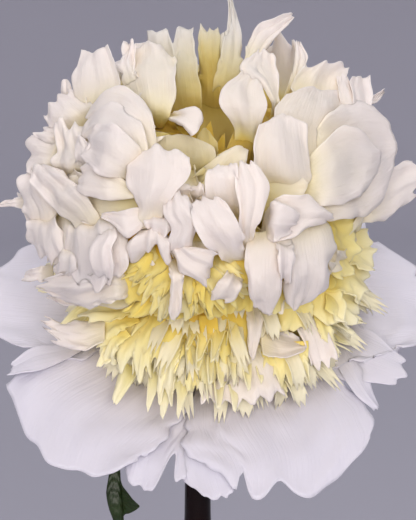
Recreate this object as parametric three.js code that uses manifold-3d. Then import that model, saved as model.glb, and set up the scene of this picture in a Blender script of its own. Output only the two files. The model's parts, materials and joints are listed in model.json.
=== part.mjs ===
// A white bomb-form peony standing in a slim bottle-shaped bud vase, in millimetres, +Z up.
// The origin is the centre of the vase's flat foot. The bloom leans towards -Y.
//
// The bloom has its own frame: its origin is the top of the green receptacle and its +Z is the
// flower's axis. Broad white guard petals spread as a saucer, a collar of yellow petaloids stands
// on them, and a ball of white crown petals sits on the collar. The vase holds water, the stem
// stands on the vase's floor, and one compound leaf hangs from the stem above the mouth.

import * as THREE from "three";
import { mergeVertices } from "three/addons/utils/BufferGeometryUtils.js";
import Module from "manifold-3d";

const wasm = await Module();
wasm.setup();

// ---------------------------------------------------------------- driving dimensions

const GAP = 0.3; // between two pieces that touch
const SLIVER = 0.02; // edges shorter than this are closed up where blades have been fused

const VASE_HEIGHT = 212;
const FOOT_RADIUS = 31;
const BODY_RADIUS = 43;
const BODY_CENTRE_Z = 47;
const NECK_RADIUS = 6;
const LIP_RADIUS = 8;
const BORE_RADIUS = 4.2;
const VASE_WALL = 3;
const VASE_FLOOR = 7;
const VASE_SIDES = 24;
const WATER_LEVEL = 88;

const STEM_RADIUS = 3.4;
const STEM_LEAN_Y = -(BORE_RADIUS - STEM_RADIUS - GAP); // the stem leans on the front of the bore
const STEM_BEND_Z = 204;
const STEM_SIDES = 12;

const BLOOM_AT = [6, -20, 255];
const BLOOM_TILT = 36; // degrees that the flower's axis leans forward from upright
const SOCKET_DEPTH = 6;
const CALYX_HEIGHT = 10;
const CALYX_RADIUS = 11;

const CROWN_CENTRE = 64; // height of the crown's middle above the receptacle
const CROWN_RADIUS = 80;
const VIEW_TILT = 48; // degrees between the flower's axis and the line to someone in front of it
const VIEW_DISTANCE = 595; // how far away they stand
const CORE_RADIUS = 53; // the smaller ball that the crown petals stand out of
const HEART_RADIUS = 34; // the egg below it that the petaloids stand out of
const HEART_HEIGHT = 44;
const HEART_Z = 42;

const COLLAR_Z = 46; // the crown sits on the collar along this slanting plane
const COLLAR_SLOPE_X = 0.1;
const COLLAR_SLOPE_Y = -0.26;
const SAUCER_Z = 11; // the collar sits on the saucer of guard petals
const COLLAR_REACH = 81;
const PETAL_MARGIN = 1.1; // least distance of a petal's middle from these planes
const PETAL_SOFTNESS = 2.5;

const PETAL_THICKNESS = 0.7;
const GUARD_THICKNESS = 0.8;
const LEAF_THICKNESS = 0.7;

const CROWN_FILLERS = 40;
const COLLAR_TIERS = [
  { count: 17, rootZ: 17, tipZ: 15, reach: 77, width: 15 },
  { count: 13, rootZ: 24, tipZ: 27, reach: 72, width: 15 },
  { count: 9, rootZ: 31, tipZ: 40, reach: 66, width: 14 },
];
const SEED = 7;

// ---------------------------------------------------------------- small helpers

const vec = (x, y, z) => new THREE.Vector3(x, y, z);
const mix = THREE.MathUtils.lerp;
const radians = THREE.MathUtils.degToRad;
const between = (low, high, t) => THREE.MathUtils.smoothstep(t, low, high);

// A repeatable draw from 0 to 1 for item k; salt tells one property from another.
function draw(k, salt) {
  const s = Math.sin(k * 12.9898 + salt * 78.233 + SEED) * 43758.5453;
  return s - Math.floor(s);
}

// Rises smoothly from a floor value, and never falls under it.
function softFloor(value, floor) {
  const x = (value - floor) / PETAL_SOFTNESS;
  return floor + PETAL_SOFTNESS * (x > 20 ? x : Math.log1p(Math.exp(x)));
}

// ---------------------------------------------------------------- solids

function solidOf(geometry) {
  const bare = geometry.clone();
  bare.deleteAttribute("normal");
  bare.deleteAttribute("uv");
  const merged = mergeVertices(bare, 1e-4);
  return new wasm.Manifold(
    new wasm.Mesh({
      numProp: 3,
      vertProperties: merged.attributes.position.array,
      triVerts: new Uint32Array(merged.index.array),
    }),
  );
}

function geometryOf(solid) {
  const mesh = solid.getMesh();
  return new THREE.BufferGeometry()
    .setAttribute("position", new THREE.BufferAttribute(mesh.vertProperties, 3))
    .setIndex(new THREE.BufferAttribute(mesh.triVerts, 1));
}

// Solids fused into one body: loose scraps are dropped and hollows with no way in are filled.
function fused(solids) {
  return largest(solids.reduce((whole, next) => whole.add(next)).setTolerance(SLIVER));
}

function largest(solid) {
  return solid.decompose().reduce((most, next) => (next.volume() > most.volume() ? next : most));
}

// A solid turned about the Z axis from [radius, z] points that start and end on it or close up.
function lathe(profile, sides) {
  const geometry = new THREE.LatheGeometry(
    profile.map(([r, z]) => new THREE.Vector2(r, z)),
    sides,
  );
  return geometry.rotateX(Math.PI / 2);
}

function tube(curve, radius, sides, steps) {
  const corners = [];
  for (let i = 0; i < sides; i++) {
    const a = (2 * Math.PI * i) / sides;
    corners.push(new THREE.Vector2(radius * Math.cos(a), radius * Math.sin(a)));
  }
  return new THREE.ExtrudeGeometry(new THREE.Shape(corners), { extrudePath: curve, steps });
}

function uprightRod(radius, sides, lowZ, highZ) {
  return new THREE.CylinderGeometry(radius, radius, highZ - lowZ, sides)
    .rotateX(Math.PI / 2)
    .translate(0, 0, (lowZ + highZ) / 2);
}

// ---------------------------------------------------------------- one blade

// A blade's outline: how wide it is at its foot and its end, as shares of its width, how much
// shorter its sides are than its middle, and the depth and number of the teeth in its end.
const OUTLINES = {
  round: { claw: 0.35, end: 0.8, drop: 0.34, teeth: 0.03, count: 2 },
  fan: { claw: 0.2, end: 1, drop: 0.2, teeth: 0.07, count: 2 },
  strap: { claw: 0.55, end: 0.75, drop: 0.22, teeth: 0.05, count: 1 },
  spear: { claw: 0.45, end: 0.1, drop: 0.02, teeth: 0, count: 1 },
  wedge: { claw: 0.12, end: 1, drop: 0.1, teeth: 0.05, count: 1 },
  ragged: { claw: 0.3, end: 0.95, drop: 0.22, teeth: 0.17, count: 3 },
  fringe: { claw: 0.45, end: 0.9, drop: 0.25, teeth: 0.26, count: 2 },
  guard: { claw: 0.2, end: 0.78, drop: 0.26, teeth: 0.025, count: 4 },
  sepal: { claw: 0.8, end: 0.35, drop: 0.15, teeth: 0, count: 1 },
  leaflet: { claw: 0.12, end: 0.06, drop: 0, teeth: 0, count: 1 },
};
const WIDEST = 0.6; // share of the length at which a blade is widest
const SPINE_STEPS = 12;

function widthShare(outline, v) {
  if (v < WIDEST) return mix(outline.claw, 1, between(0, WIDEST, v));
  return mix(1, outline.end, between(WIDEST, 1, v));
}

function reachShare(blade, outline, u) {
  let share = 1 - outline.drop * Math.abs(u) ** 2.2;
  const turn = Math.PI * outline.count * (u + 1) + 2 * Math.PI * draw(blade.seed, 1);
  share -= outline.teeth * (0.5 - 0.5 * Math.cos(turn));
  for (const [at, depth, width] of blade.notches ?? [])
    share -= depth * Math.exp(-(((u - at) / width) ** 2));
  return share;
}

// The blade's middle line runs through its root, waist and tip; its face turns with it.
function spineOf(blade) {
  const { root, waist, tip } = blade;
  const pull = waist.clone().multiplyScalar(4).sub(root).sub(tip).divideScalar(2);
  const curve = new THREE.QuadraticBezierCurve3(root, pull, tip);
  const frames = [];
  let face = blade.face.clone();
  for (let i = SPINE_STEPS; i >= 0; i--) {
    const along = curve.getTangent(i / SPINE_STEPS);
    face = face.clone().addScaledVector(along, -face.dot(along)).normalize();
    frames[i] = face;
  }
  return { curve, frames, length: root.distanceTo(waist) + waist.distanceTo(tip) };
}

// A point of the blade's middle surface: u runs from -1 to 1 across it, v from 0 to 1 along it.
function bladePoint(blade, spine, outline, u, v) {
  const t = v * reachShare(blade, outline, u);
  const step = Math.min(Math.floor(t * SPINE_STEPS), SPINE_STEPS - 1);
  const along = spine.curve.getTangent(t);
  const face = spine.frames[step].clone().lerp(spine.frames[step + 1], t * SPINE_STEPS - step);
  face.addScaledVector(along, -face.dot(along)).normalize();
  const side = along.clone().cross(face);

  const offset = (u * blade.width * widthShare(outline, v)) / 2;
  const bend = radians(blade.cup) / blade.width || 1e-6;
  const round = Math.atan2(u * blade.width * 0.5, (v - 0.35) * spine.length);
  const edge = Math.max(Math.abs(u), v) ** 3 * Math.min(1, 1.6 * v);
  const phase = 2 * Math.PI * draw(blade.seed, 2);
  const wave =
    edge * Math.sin(blade.waves * round + phase) +
    0.4 * edge ** 2 * Math.sin(2.7 * blade.waves * round + 2 * phase);

  return spine.curve
    .getPoint(t)
    .addScaledVector(side, Math.sin(bend * offset) / bend)
    .addScaledVector(face, (1 - Math.cos(bend * offset)) / bend + blade.flute * wave)
    .addScaledVector(face, (blade.fold ?? 0) * Math.abs(offset));
}

// The closed thin solid of a blade: two like faces, a thickness apart, joined by their rim.
function bladeSolid(blade, columns, rows, thickness, keep) {
  const spine = spineOf(blade);
  const outline = OUTLINES[blade.outline];
  const wide = columns + 1;
  const middle = [];
  for (let j = 0; j <= rows; j++)
    for (let i = 0; i <= columns; i++) {
      const u = (2 * i) / columns - 1;
      middle.push(keep(bladePoint(blade, spine, outline, u, j / rows)));
    }

  const triangles = [];
  for (let j = 0; j < rows; j++)
    for (let i = 0; i < columns; i++) {
      const a = j * wide + i;
      triangles.push([a, a + 1, a + wide + 1], [a, a + wide + 1, a + wide]);
    }

  const normals = middle.map(() => vec(0, 0, 0));
  for (const [a, b, c] of triangles) {
    const normal = middle[b].clone().sub(middle[a]).cross(middle[c].clone().sub(middle[a]));
    for (const corner of [a, b, c]) normals[corner].add(normal);
  }

  const count = middle.length;
  const positions = new Float32Array(count * 6);
  middle.forEach((point, k) => {
    const half = normals[k].normalize().multiplyScalar(thickness / 2);
    point.clone().add(half).toArray(positions, k * 3);
    point.clone().sub(half).toArray(positions, (k + count) * 3);
  });

  const index = [];
  for (const [a, b, c] of triangles) index.push(a, b, c, a + count, c + count, b + count);
  const rim = [];
  for (let i = 0; i <= columns; i++) rim.push(i);
  for (let j = 1; j <= rows; j++) rim.push(j * wide + columns);
  for (let i = columns - 1; i >= 0; i--) rim.push(rows * wide + i);
  for (let j = rows - 1; j >= 1; j--) rim.push(j * wide);
  rim.forEach((a, k) => {
    const b = rim[(k + 1) % rim.length];
    index.push(a, a + count, b, b, a + count, b + count);
  });

  const geometry = new THREE.BufferGeometry()
    .setAttribute("position", new THREE.BufferAttribute(positions, 3))
    .setIndex(index);
  return solidOf(geometry);
}

// ---------------------------------------------------------------- the bloom's layers

const collarPlane = (p) => COLLAR_Z + COLLAR_SLOPE_X * p.x + COLLAR_SLOPE_Y * p.y;

function keepInCrown(p) {
  const floor = collarPlane(p) + PETAL_MARGIN;
  p.z = softFloor(p.z, floor);
  return p;
}

function keepInCollar(p) {
  const out = Math.hypot(p.x, p.y);
  const reach = COLLAR_REACH - softFloor(COLLAR_REACH - out, 0);
  if (out > 1) p.set((p.x * reach) / out, (p.y * reach) / out, p.z);
  p.z = softFloor(p.z, SAUCER_Z + PETAL_MARGIN);
  const ceiling = collarPlane(p) - PETAL_MARGIN;
  p.z = ceiling - softFloor(ceiling - p.z, 0);
  return p;
}

function keepInSaucer(p) {
  const ceiling = SAUCER_Z - PETAL_MARGIN;
  p.z = ceiling - softFloor(ceiling - p.z, 0);
  return p;
}

const keepAnywhere = (p) => p;

// A direction given as someone in front of the bloom sees it: to the right, up and towards them.
function seenDirection([across, up, near]) {
  const c = Math.cos(radians(VIEW_TILT));
  const s = Math.sin(radians(VIEW_TILT));
  return vec(across, up * c - near * s, up * s + near * c);
}

// A place given the same way from the crown's middle. What is nearer looks larger, so the first
// two are as they look beside the crown's middle.
function seen([across, up, near]) {
  const scale = 1 - near / VIEW_DISTANCE;
  return seenDirection([across * scale, up * scale, near]).add(vec(0, 0, CROWN_CENTRE));
}

// Where a crown petal starts inside the core, on the way to its waist.
function rootTowards(waist) {
  const middle = vec(0, 0, CROWN_CENTRE);
  return middle.clone().addScaledVector(waist.clone().sub(middle).normalize(), CORE_RADIUS * 0.8);
}

// The crown petals that stand out when the bloom is seen from the front, each by its tip and
// its waist as seen() takes them, the way its face looks, its width, how much it is cupped in
// degrees (below 0 where it bulges forward), the depth of its waves, and its outline.
const CROWN_PETALS = [
  // tip            waist            face             width cup flute outline
  [[-48, 65, 8], [-46, 47, 28], [-0.1, 0.1, 1], 22, 30, 1, "round"],
  [[-26, 70, 15], [-23, 47, 42], [0.3, -0.1, 1], 30, 110, 2.5, "ragged"],
  [[-9, 76, 3], [-13, 54, 28], [0, 0, 1], 22, 30, 2, "fan"],
  [[-1, 75, -8], [0, 56, 15], [-0.3, 0, 1], 10, 40, 1, "strap"],
  [[7, 87, -5], [10, 54, 20], [0.2, 0, 1], 13, 40, 0.5, "spear"],
  [[34, 79, -15], [18, 60, 0], [0.4, -0.5, 1], 12, 50, 1, "spear"],
  [[21, 62, 30], [14, 45, 46], [0.1, 0.1, 1], 26, -60, 1.5, "round"],
  [[37, 67, 0], [33, 54, 20], [0.2, 0, 1], 8, 30, 0.5, "spear"],
  [[47, 58, -2], [45, 46, 22], [-0.2, 0.3, 0.8], 28, 50, 2.5, "ragged"],
  [[57, 54, 8], [56, 42, 26], [0.3, 0.2, 1], 11, 60, 0.5, "round"],
  [[64, 54, 0], [61, 42, 18], [0.2, 0.3, 1], 11, 40, 0.5, "fan"],
  [[72, 46, -8], [65, 40, 8], [0.2, 0.3, 1], 7, 30, 0.5, "spear"],
  [[31, 37, 54], [29, 20, 64], [-0.2, 0.1, 1], 23, -40, 1, "round"],
  [[45, 46, 38], [41, 24, 56], [0.3, 0.1, 1], 34, -80, 2, "round"],
  [[76, 31, 12], [61, 12, 42], [0.4, 0.1, 0.8], 42, -90, 1.5, "round"],
  [[86, 14, -4], [69, 1, 24], [0.3, 0.5, 0.7], 32, -40, 2, "ragged"],
  [[-36, 48, 42], [-36, 33, 56], [-0.3, -0.6, 0.7], 30, 100, 1.5, "round"],
  [[-61, 35, 28], [-55, 22, 46], [0.4, 0.1, 0.9], 24, -60, 2, "ragged"],
  [[-46, 31, 54], [-42, 19, 62], [-0.2, -0.6, 0.8], 20, 110, 1, "round"],
  [[-49, 3, 58], [-41, 13, 66], [0, 0.5, 0.9], 20, -40, 1, "round"],
  [[-59, 50, 18], [-53, 40, 34], [-0.2, 0.2, 1], 14, 50, 1.5, "ragged"],
  [[-71, 36, 8], [-62, 28, 28], [-0.4, 0.2, 1], 22, -50, 2, "ragged"],
  [[-4, 39, 50], [-13, 34, 54], [0, 0.3, 1], 14, 30, 0.5, "fan"],
  [[1, 24, 34], [-9, 24, 42], [0.3, 0.5, 0.8], 19, 40, 0.5, "round"],
  [[-23, 25, 66], [-22, 9, 72], [0, 0.15, 1], 27, 30, 1, "round"],
  [[-80, 15, 4], [-73, 2, 22], [-0.4, 0.1, 0.9], 18, 50, 2, "round"],
  [[-71, 16, 24], [-58, 2, 44], [-0.2, 0.3, 0.9], 15, -90, 1, "strap"],
  [[-88, 0, -4], [-77, 1, 4], [0, 0.6, 0.8], 6, 40, 0.3, "spear"],
  [[-75, -26, 12], [-67, -10, 32], [-0.3, 0.1, 1], 24, 60, 3.5, "ragged"],
  [[-57, -32, 34], [-55, -12, 50], [-0.1, 0, 1], 26, -60, 3.5, "ragged"],
  [[-39, -27, 54], [-41, -11, 62], [0.1, 0, 1], 23, -60, 3, "ragged"],
  [[-63, -42, 18], [-52, -27, 38], [0, 0.3, 0.9], 30, -40, 3, "ragged"],
  [[-42, -42, 40], [-38, -27, 52], [0, 0.2, 0.9], 24, 40, 2.5, "ragged"],
  [[-44, -7, 66], [-35, -3, 70], [0, -0.2, 1], 13, 20, 1, "fan"],
  [[-28, -25, 68], [-25, -13, 73], [0, -0.3, 1], 17, -90, 1, "fan"],
  [[-17, 4, 77], [-12, -8, 79], [0, 0, 1], 16, -100, 1, "strap"],
  [[11, -24, 74], [1, -8, 80], [0, 0, 1], 22, -70, 1, "round"],
  [[1, -36, 70], [-8, -22, 76], [0, 0.1, 1], 18, -30, 0.5, "fan"],
  [[-15, -47, 60], [-13, -31, 70], [0, 0, 1], 7, 50, 0.3, "strap"],
  [[5, 18, 74], [5, 4, 79], [-0.1, 0, 1], 18, -30, 1, "fan"],
  [[16, 18, 72], [15, -3, 78], [0.1, 0, 1], 17, 20, 1, "wedge"],
  [[44, 4, 64], [32, -7, 71], [-0.2, -0.4, 1], 32, 120, 1, "round"],
  [[36, 1, 69], [30, -7, 74], [-0.3, -0.3, 1], 17, 120, 0.5, "round"],
  [[22, -46, 60], [21, -27, 71], [0, 0, 1], 24, -40, 1.5, "ragged"],
  [[40, -45, 48], [39, -26, 61], [0.2, 0, 1], 25, -50, 2, "ragged"],
  [[53, -35, 38], [50, -18, 52], [0.4, 0, 1], 20, -50, 2, "round"],
];

function crownHeroes() {
  return CROWN_PETALS.map(([tip, waist, face, width, cup, flute, outline], k) => ({
    root: rootTowards(seen(waist)),
    waist: seen(waist),
    tip: seen(tip),
    face: seenDirection(face).normalize(),
    width,
    cup,
    flute,
    outline,
    waves: 3,
    seed: k,
  }));
}

// The rest of the crown: petals spread evenly over the ball, left out where the listed ones are.
const GOLDEN_ANGLE = Math.PI * (3 - Math.sqrt(5));
const LISTED_FROM = 0.3; // a direction this much towards the viewer belongs to the listed petals

function crownFillers() {
  const middle = vec(0, 0, CROWN_CENTRE);
  const viewer = seenDirection([0, 0, 1]);
  const petals = [];
  for (let k = 0; k < CROWN_FILLERS; k++) {
    const z = 1 - (1.5 * (k + 0.5)) / CROWN_FILLERS;
    const ring = Math.sqrt(1 - z * z);
    const turn = k * GOLDEN_ANGLE;
    const out = vec(ring * Math.cos(turn), ring * Math.sin(turn), z);
    const beside = between(-0.2, LISTED_FROM, out.dot(viewer));
    const radius = CROWN_RADIUS * mix(mix(0.88, 1, draw(k, 4)), 0.8, beside);
    const waist = middle.clone().addScaledVector(out, radius * 0.86);
    if (waist.z < collarPlane(waist) + 3 || out.dot(viewer) > LISTED_FROM) continue;
    const aside = vec(-Math.sin(turn), Math.cos(turn), 0);
    const over = out.clone().cross(aside);
    const sway = 2 * Math.PI * draw(k, 3);
    const lean = aside.multiplyScalar(Math.cos(sway)).addScaledVector(over, Math.sin(sway));
    const tipOut = out.clone().addScaledVector(lean, 0.34).normalize();
    petals.push({
      root: rootTowards(waist),
      waist,
      tip: middle.clone().addScaledVector(tipOut, radius * 1.03),
      face: out.clone().addScaledVector(lean, -0.5).normalize(),
      width: mix(28, 38, draw(k, 5)),
      cup: mix(40, 90, draw(k, 6)) * (draw(k, 7) < 0.5 ? -1 : 1),
      flute: mix(2, 3.5, draw(k, 8)),
      outline: draw(k, 9) < 0.55 ? "ragged" : "round",
      waves: 3,
      seed: 100 + k,
    });
  }
  return petals;
}

// Petaloids in tiers round the heart, wide fans with torn ends and narrow straps by turns.
function collarBlades() {
  const blades = [];
  COLLAR_TIERS.forEach((tier, level) => {
    for (let i = 0; i < tier.count; i++) {
      const k = 200 + 40 * level + i;
      const turn = (2 * Math.PI * (i + 0.5 * level + 0.5 * draw(k, 3))) / tier.count;
      const out = vec(Math.sin(turn), -Math.cos(turn), 0);
      const aside = vec(Math.cos(turn), Math.sin(turn), 0);
      const reach = tier.reach * mix(0.9, 1.06, draw(k, 4));
      const tipZ = tier.tipZ + mix(-3, 3, draw(k, 5));
      const drift = mix(-8, 8, draw(k, 6));
      const broad = i % 2 === 0;
      blades.push({
        root: out.clone().multiplyScalar(HEART_RADIUS * 0.6).setZ(tier.rootZ),
        waist: out
          .clone()
          .multiplyScalar(reach * 0.66)
          .addScaledVector(aside, drift * 0.3)
          .setZ(mix(tier.rootZ, tipZ, 0.5) + 5),
        tip: out.clone().multiplyScalar(reach).addScaledVector(aside, drift).setZ(tipZ),
        face: vec(0, 0, 1).addScaledVector(aside, mix(-0.5, 0.5, draw(k, 7))),
        width: tier.width * (broad ? 1.3 : 0.6),
        cup: mix(-50, 50, draw(k, 8)),
        flute: 1.5,
        outline: broad ? "fringe" : "strap",
        waves: 3,
        seed: k,
      });
    }
  });
  return blades;
}

// Guard petals by the way they point, in degrees to the right of the front, their reach, width,
// the height of their waist and tip, their cup and waves, and the notches in their ends.
const GUARD_PETALS = [
  // turn reach width waistZ tipZ cup flute notches
  [-8, 105, 70, 0, -10, 20, 2, [[-0.4, 0.16, 0.2], [0.45, 0.14, 0.2]]],
  [27, 112, 108, 4, -5, -14, 2.5, [[-0.62, 0.14, 0.16], [-0.25, 0.06, 0.1]]],
  [-40, 115, 110, 4, -3, 16, 2.5, [[0.72, 0.08, 0.12]]],
  [62, 96, 40, 9, 7, -24, 2, []],
  [92, 108, 92, 4, 0, 20, 3, [[-0.5, 0.05, 0.1]]],
  [-96, 107, 88, 3, 0, 20, 3, [[0.2, 0.06, 0.1]]],
  [138, 100, 80, 4, 2, 24, 3, [[0.1, 0.08, 0.12]]],
  [180, 98, 78, 1, -4, 24, 3, [[-0.3, 0.1, 0.12]]],
  [-140, 100, 80, 4, 2, 24, 3, [[0.35, 0.08, 0.1]]],
];

function guardBlades() {
  return GUARD_PETALS.map(([turn, reach, width, waistZ, tipZ, cup, flute, notches], k) => {
    const a = radians(turn);
    const out = vec(Math.sin(a), -Math.cos(a), 0);
    return {
      root: out.clone().multiplyScalar(9).setZ(2.5),
      waist: out.clone().multiplyScalar(reach * 0.55).setZ(waistZ),
      tip: out.clone().multiplyScalar(reach).setZ(tipZ),
      face: vec(0, 0, 1),
      width,
      cup,
      flute,
      notches,
      outline: "guard",
      waves: 4,
      seed: 400 + k,
    };
  });
}

// ---------------------------------------------------------------- the bloom's solids

const GUARD_TOP = 5;
const GUARD_CORE_RADIUS = 16;

function guardPetals() {
  const core = [
    [0, 0],
    [GUARD_CORE_RADIUS - 3, 0],
    [GUARD_CORE_RADIUS, 2.5],
    [GUARD_CORE_RADIUS - 2, GUARD_TOP],
    [0, GUARD_TOP],
  ];
  return fused([
    solidOf(lathe(core, 16)),
    ...guardBlades().map((b) => bladeSolid(b, 6, 5, GUARD_THICKNESS, keepInSaucer)),
  ]);
}

// The heart is an egg from the guard petals' core up to the collar's plane.
function heart() {
  const egg = new THREE.SphereGeometry(1, 14, 9).rotateX(Math.PI / 2);
  egg.scale(HEART_RADIUS, HEART_RADIUS, HEART_HEIGHT).translate(0, 0, HEART_Z);
  const stalk = [[0, GUARD_TOP + GAP], [8, GUARD_TOP + GAP], [14, SAUCER_Z + 4], [0, HEART_Z]];
  return solidOf(egg)
    .subtract(slabBelow(SAUCER_Z + GAP))
    .add(solidOf(lathe(stalk, 14)))
    .intersect(belowCollar(-GAP / 2));
}

function crownCore() {
  const ball = new THREE.SphereGeometry(CORE_RADIUS, 14, 10).rotateX(Math.PI / 2);
  return solidOf(ball.translate(0, 0, CROWN_CENTRE)).subtract(belowCollar(GAP / 2));
}

function slabBelow(z) {
  return solidOf(new THREE.BoxGeometry(400, 400, 100).translate(0, 0, z - 50));
}

// Everything below the collar's plane, lifted along Z, as one large leaning block.
function belowCollar(lift) {
  const block = new THREE.BoxGeometry(400, 400, 200).translate(0, 0, -100);
  const up = vec(-COLLAR_SLOPE_X, -COLLAR_SLOPE_Y, 1).normalize();
  block.applyQuaternion(new THREE.Quaternion().setFromUnitVectors(vec(0, 0, 1), up));
  return solidOf(block.translate(0, 0, COLLAR_Z + lift));
}

function yellowPetaloids() {
  return fused([
    heart(),
    ...collarBlades().map((b) => bladeSolid(b, 3, 3, PETAL_THICKNESS, keepInCollar)),
  ]);
}

function crownPetals() {
  return fused([
    crownCore(),
    ...crownHeroes().map((b) => bladeSolid(b, 3, 3, PETAL_THICKNESS, keepInCrown)),
    ...crownFillers().map((b) => bladeSolid(b, 3, 3, PETAL_THICKNESS, keepInCrown)),
  ]);
}

// The green receptacle, with a socket for the stem's end, five sepals and two narrow bracts.
const SEPAL_TURNS = [10, 84, 152, 226, 298];
const BRACT_TURNS = [120, 262];

function greenBlade(turn, reach, width, tipZ, seed) {
  const a = radians(turn);
  const out = vec(Math.sin(a), -Math.cos(a), 0);
  return {
    root: out.clone().multiplyScalar(6).setZ(-5),
    waist: out.clone().multiplyScalar(reach * 0.6).setZ(-7.5),
    tip: out.clone().multiplyScalar(reach).setZ(tipZ),
    face: vec(0, 0, 1),
    width,
    cup: 40,
    flute: 0.4,
    outline: "sepal",
    waves: 2,
    seed,
  };
}

function calyx() {
  const cup = [
    [0, -CALYX_HEIGHT],
    [STEM_RADIUS + 2, -CALYX_HEIGHT],
    [CALYX_RADIUS - 1, -3],
    [CALYX_RADIUS, -GAP],
    [0, -GAP],
  ];
  const sepals = SEPAL_TURNS.map((turn, k) => greenBlade(turn, 30, 18, -11, 500 + k));
  const bracts = BRACT_TURNS.map((turn, k) => greenBlade(turn, 44, 7, -22, 510 + k));
  const stemRoom = stemSolid(GAP)
    .translate(BLOOM_AT.map((x) => -x))
    .rotate([-BLOOM_TILT, 0, 0]);
  return fused([
    solidOf(lathe(cup, 16)),
    ...[...sepals, ...bracts].map((b) => bladeSolid(b, 2, 3, LEAF_THICKNESS, keepAnywhere)),
  ]).subtract(stemRoom);
}

// ---------------------------------------------------------------- stem and leaf

// The stem's bend above the vase: upright at the mouth, in line with the flower's axis at the top.
function stemBend(grow) {
  const axis = vec(0, 0, 1).applyAxisAngle(vec(1, 0, 0), radians(BLOOM_TILT));
  const end = vec(...BLOOM_AT).addScaledVector(axis, SOCKET_DEPTH - CALYX_HEIGHT + grow);
  const start = vec(0, STEM_LEAN_Y, STEM_BEND_Z);
  return new THREE.CubicBezierCurve3(
    start,
    start.clone().add(vec(0, 0, 24)),
    end.clone().addScaledVector(axis, -24),
    end,
  );
}

// The stem, or the room it takes with a gap all round it.
function stemSolid(grow) {
  const foot = uprightRod(STEM_RADIUS + grow, STEM_SIDES, VASE_FLOOR + GAP - grow, STEM_BEND_Z + 1);
  return solidOf(foot.translate(0, STEM_LEAN_Y, 0)).add(
    solidOf(tube(stemBend(grow), STEM_RADIUS + grow, STEM_SIDES, 8)),
  );
}

// The leaf: a stalk from the stem above the vase's mouth, and three pointed leaflets. The first
// hangs to the left of the vase's neck and has a side lobe; the others spread to the left and back.
const STALK = [[-2, -1, 219], [-16, 3, 227], [-31, 1, 222]];
const LEAFLETS = [
  // root          waist            tip               face             width fold outline
  [[-30, 1, 222], [-37, -6, 192], [-33, -8, 148], [0.85, -0.5, 0.1], 26, 0.35, "leaflet"],
  [[-35.5, -5, 197], [-33, -8, 189], [-25.5, -9, 181], [0.2, -0.9, 0.4], 11, 0.1, "leaflet"],
  [[-30, 1, 222], [-56, 14, 221], [-86, 24, 200], [0.1, -0.2, 1], 28, 0.3, "leaflet"],
  [[-29, 2, 222], [-40, 34, 216], [-50, 66, 196], [0.2, 0.3, 1], 27, 0.3, "leaflet"],
];

function leafSolid() {
  const stalk = tube(new THREE.QuadraticBezierCurve3(...STALK.map((p) => vec(...p))), 1.5, 8, 5);
  const blades = LEAFLETS.map(([root, waist, tip, face, width, fold, outline], k) => ({
    root: vec(...root),
    waist: vec(...waist),
    tip: vec(...tip),
    face: vec(...face).normalize(),
    width,
    fold,
    outline,
    cup: 0,
    flute: 0.8,
    waves: 2,
    seed: 600 + k,
  }));
  return fused([
    solidOf(stalk),
    ...blades.map((b) => bladeSolid(b, 4, 6, LEAF_THICKNESS, keepAnywhere)),
  ]).subtract(stemSolid(GAP));
}

// ---------------------------------------------------------------- vase and water

// Half the body's outline, from the foot to the lip: a low round belly drawn up into a thin neck.
function vaseOutside() {
  const belly = new THREE.SplineCurve(
    [
      [FOOT_RADIUS, 2],
      [BODY_RADIUS * 0.93, BODY_CENTRE_Z * 0.45],
      [BODY_RADIUS, BODY_CENTRE_Z],
      [BODY_RADIUS * 0.8, BODY_CENTRE_Z * 1.6],
      [BODY_RADIUS * 0.4, BODY_CENTRE_Z * 2.1],
      [NECK_RADIUS + 3, BODY_CENTRE_Z * 2.6],
      [NECK_RADIUS + 0.6, BODY_CENTRE_Z * 3.1],
      [NECK_RADIUS, VASE_HEIGHT - 30],
      [NECK_RADIUS, VASE_HEIGHT - 12],
      [LIP_RADIUS, VASE_HEIGHT - 1],
    ].map(([r, z]) => new THREE.Vector2(r, z)),
  );
  return belly.getPoints(14).map((p) => [p.x, p.y]);
}

// The inside follows the outside a wall further in, and is never narrower than the bore.
function vaseInside(inset) {
  const wall = vaseOutside()
    .filter(([, z]) => z > VASE_FLOOR + 3)
    .map(([r, z]) => [Math.max(r - VASE_WALL, BORE_RADIUS) - inset, z]);
  return [[FOOT_RADIUS + 1 - inset, VASE_FLOOR + inset], ...wall];
}

function vase() {
  const lip = [[LIP_RADIUS - 0.6, VASE_HEIGHT], [BORE_RADIUS + 0.8, VASE_HEIGHT]];
  const inside = vaseInside(0)
    .filter(([, z]) => z < VASE_HEIGHT - 1)
    .reverse();
  return lathe(
    [[0, 0], [FOOT_RADIUS - 1, 0], ...vaseOutside(), ...lip, ...inside, [0, VASE_FLOOR]],
    VASE_SIDES,
  );
}

// The water fills the vase to where it starts to narrow into the neck.
function water() {
  const wall = vaseInside(GAP).filter(([, z]) => z < WATER_LEVEL);
  const [, top] = wall.at(-1);
  const full = lathe([[0, VASE_FLOOR + GAP], ...wall, [0, top]], VASE_SIDES);
  return solidOf(full).subtract(stemSolid(GAP));
}

// ---------------------------------------------------------------- the object

const finish = (color, roughness) => new THREE.MeshStandardMaterial({ color, roughness, metalness: 0 });
const GLAZE = finish(0x160c08, 0.12);
const WATER = finish(0xd8e6e8, 0.05);
const STEM_GREEN = finish(0x5b6b32, 0.5);
const LEAF_GREEN = finish(0x2b3a1e, 0.45);
const CALYX_GREEN = finish(0x6f8a3c, 0.5);
const WHITE_PETAL = finish(0xf1ecee, 0.6);
const CREAM_PETAL = finish(0xf3ecea, 0.6);
const YELLOW_PETAL = finish(0xe9cf5c, 0.6);

function node(name, geometry, material) {
  const mesh = new THREE.Mesh(geometry, material);
  mesh.name = name;
  return mesh;
}

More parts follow.
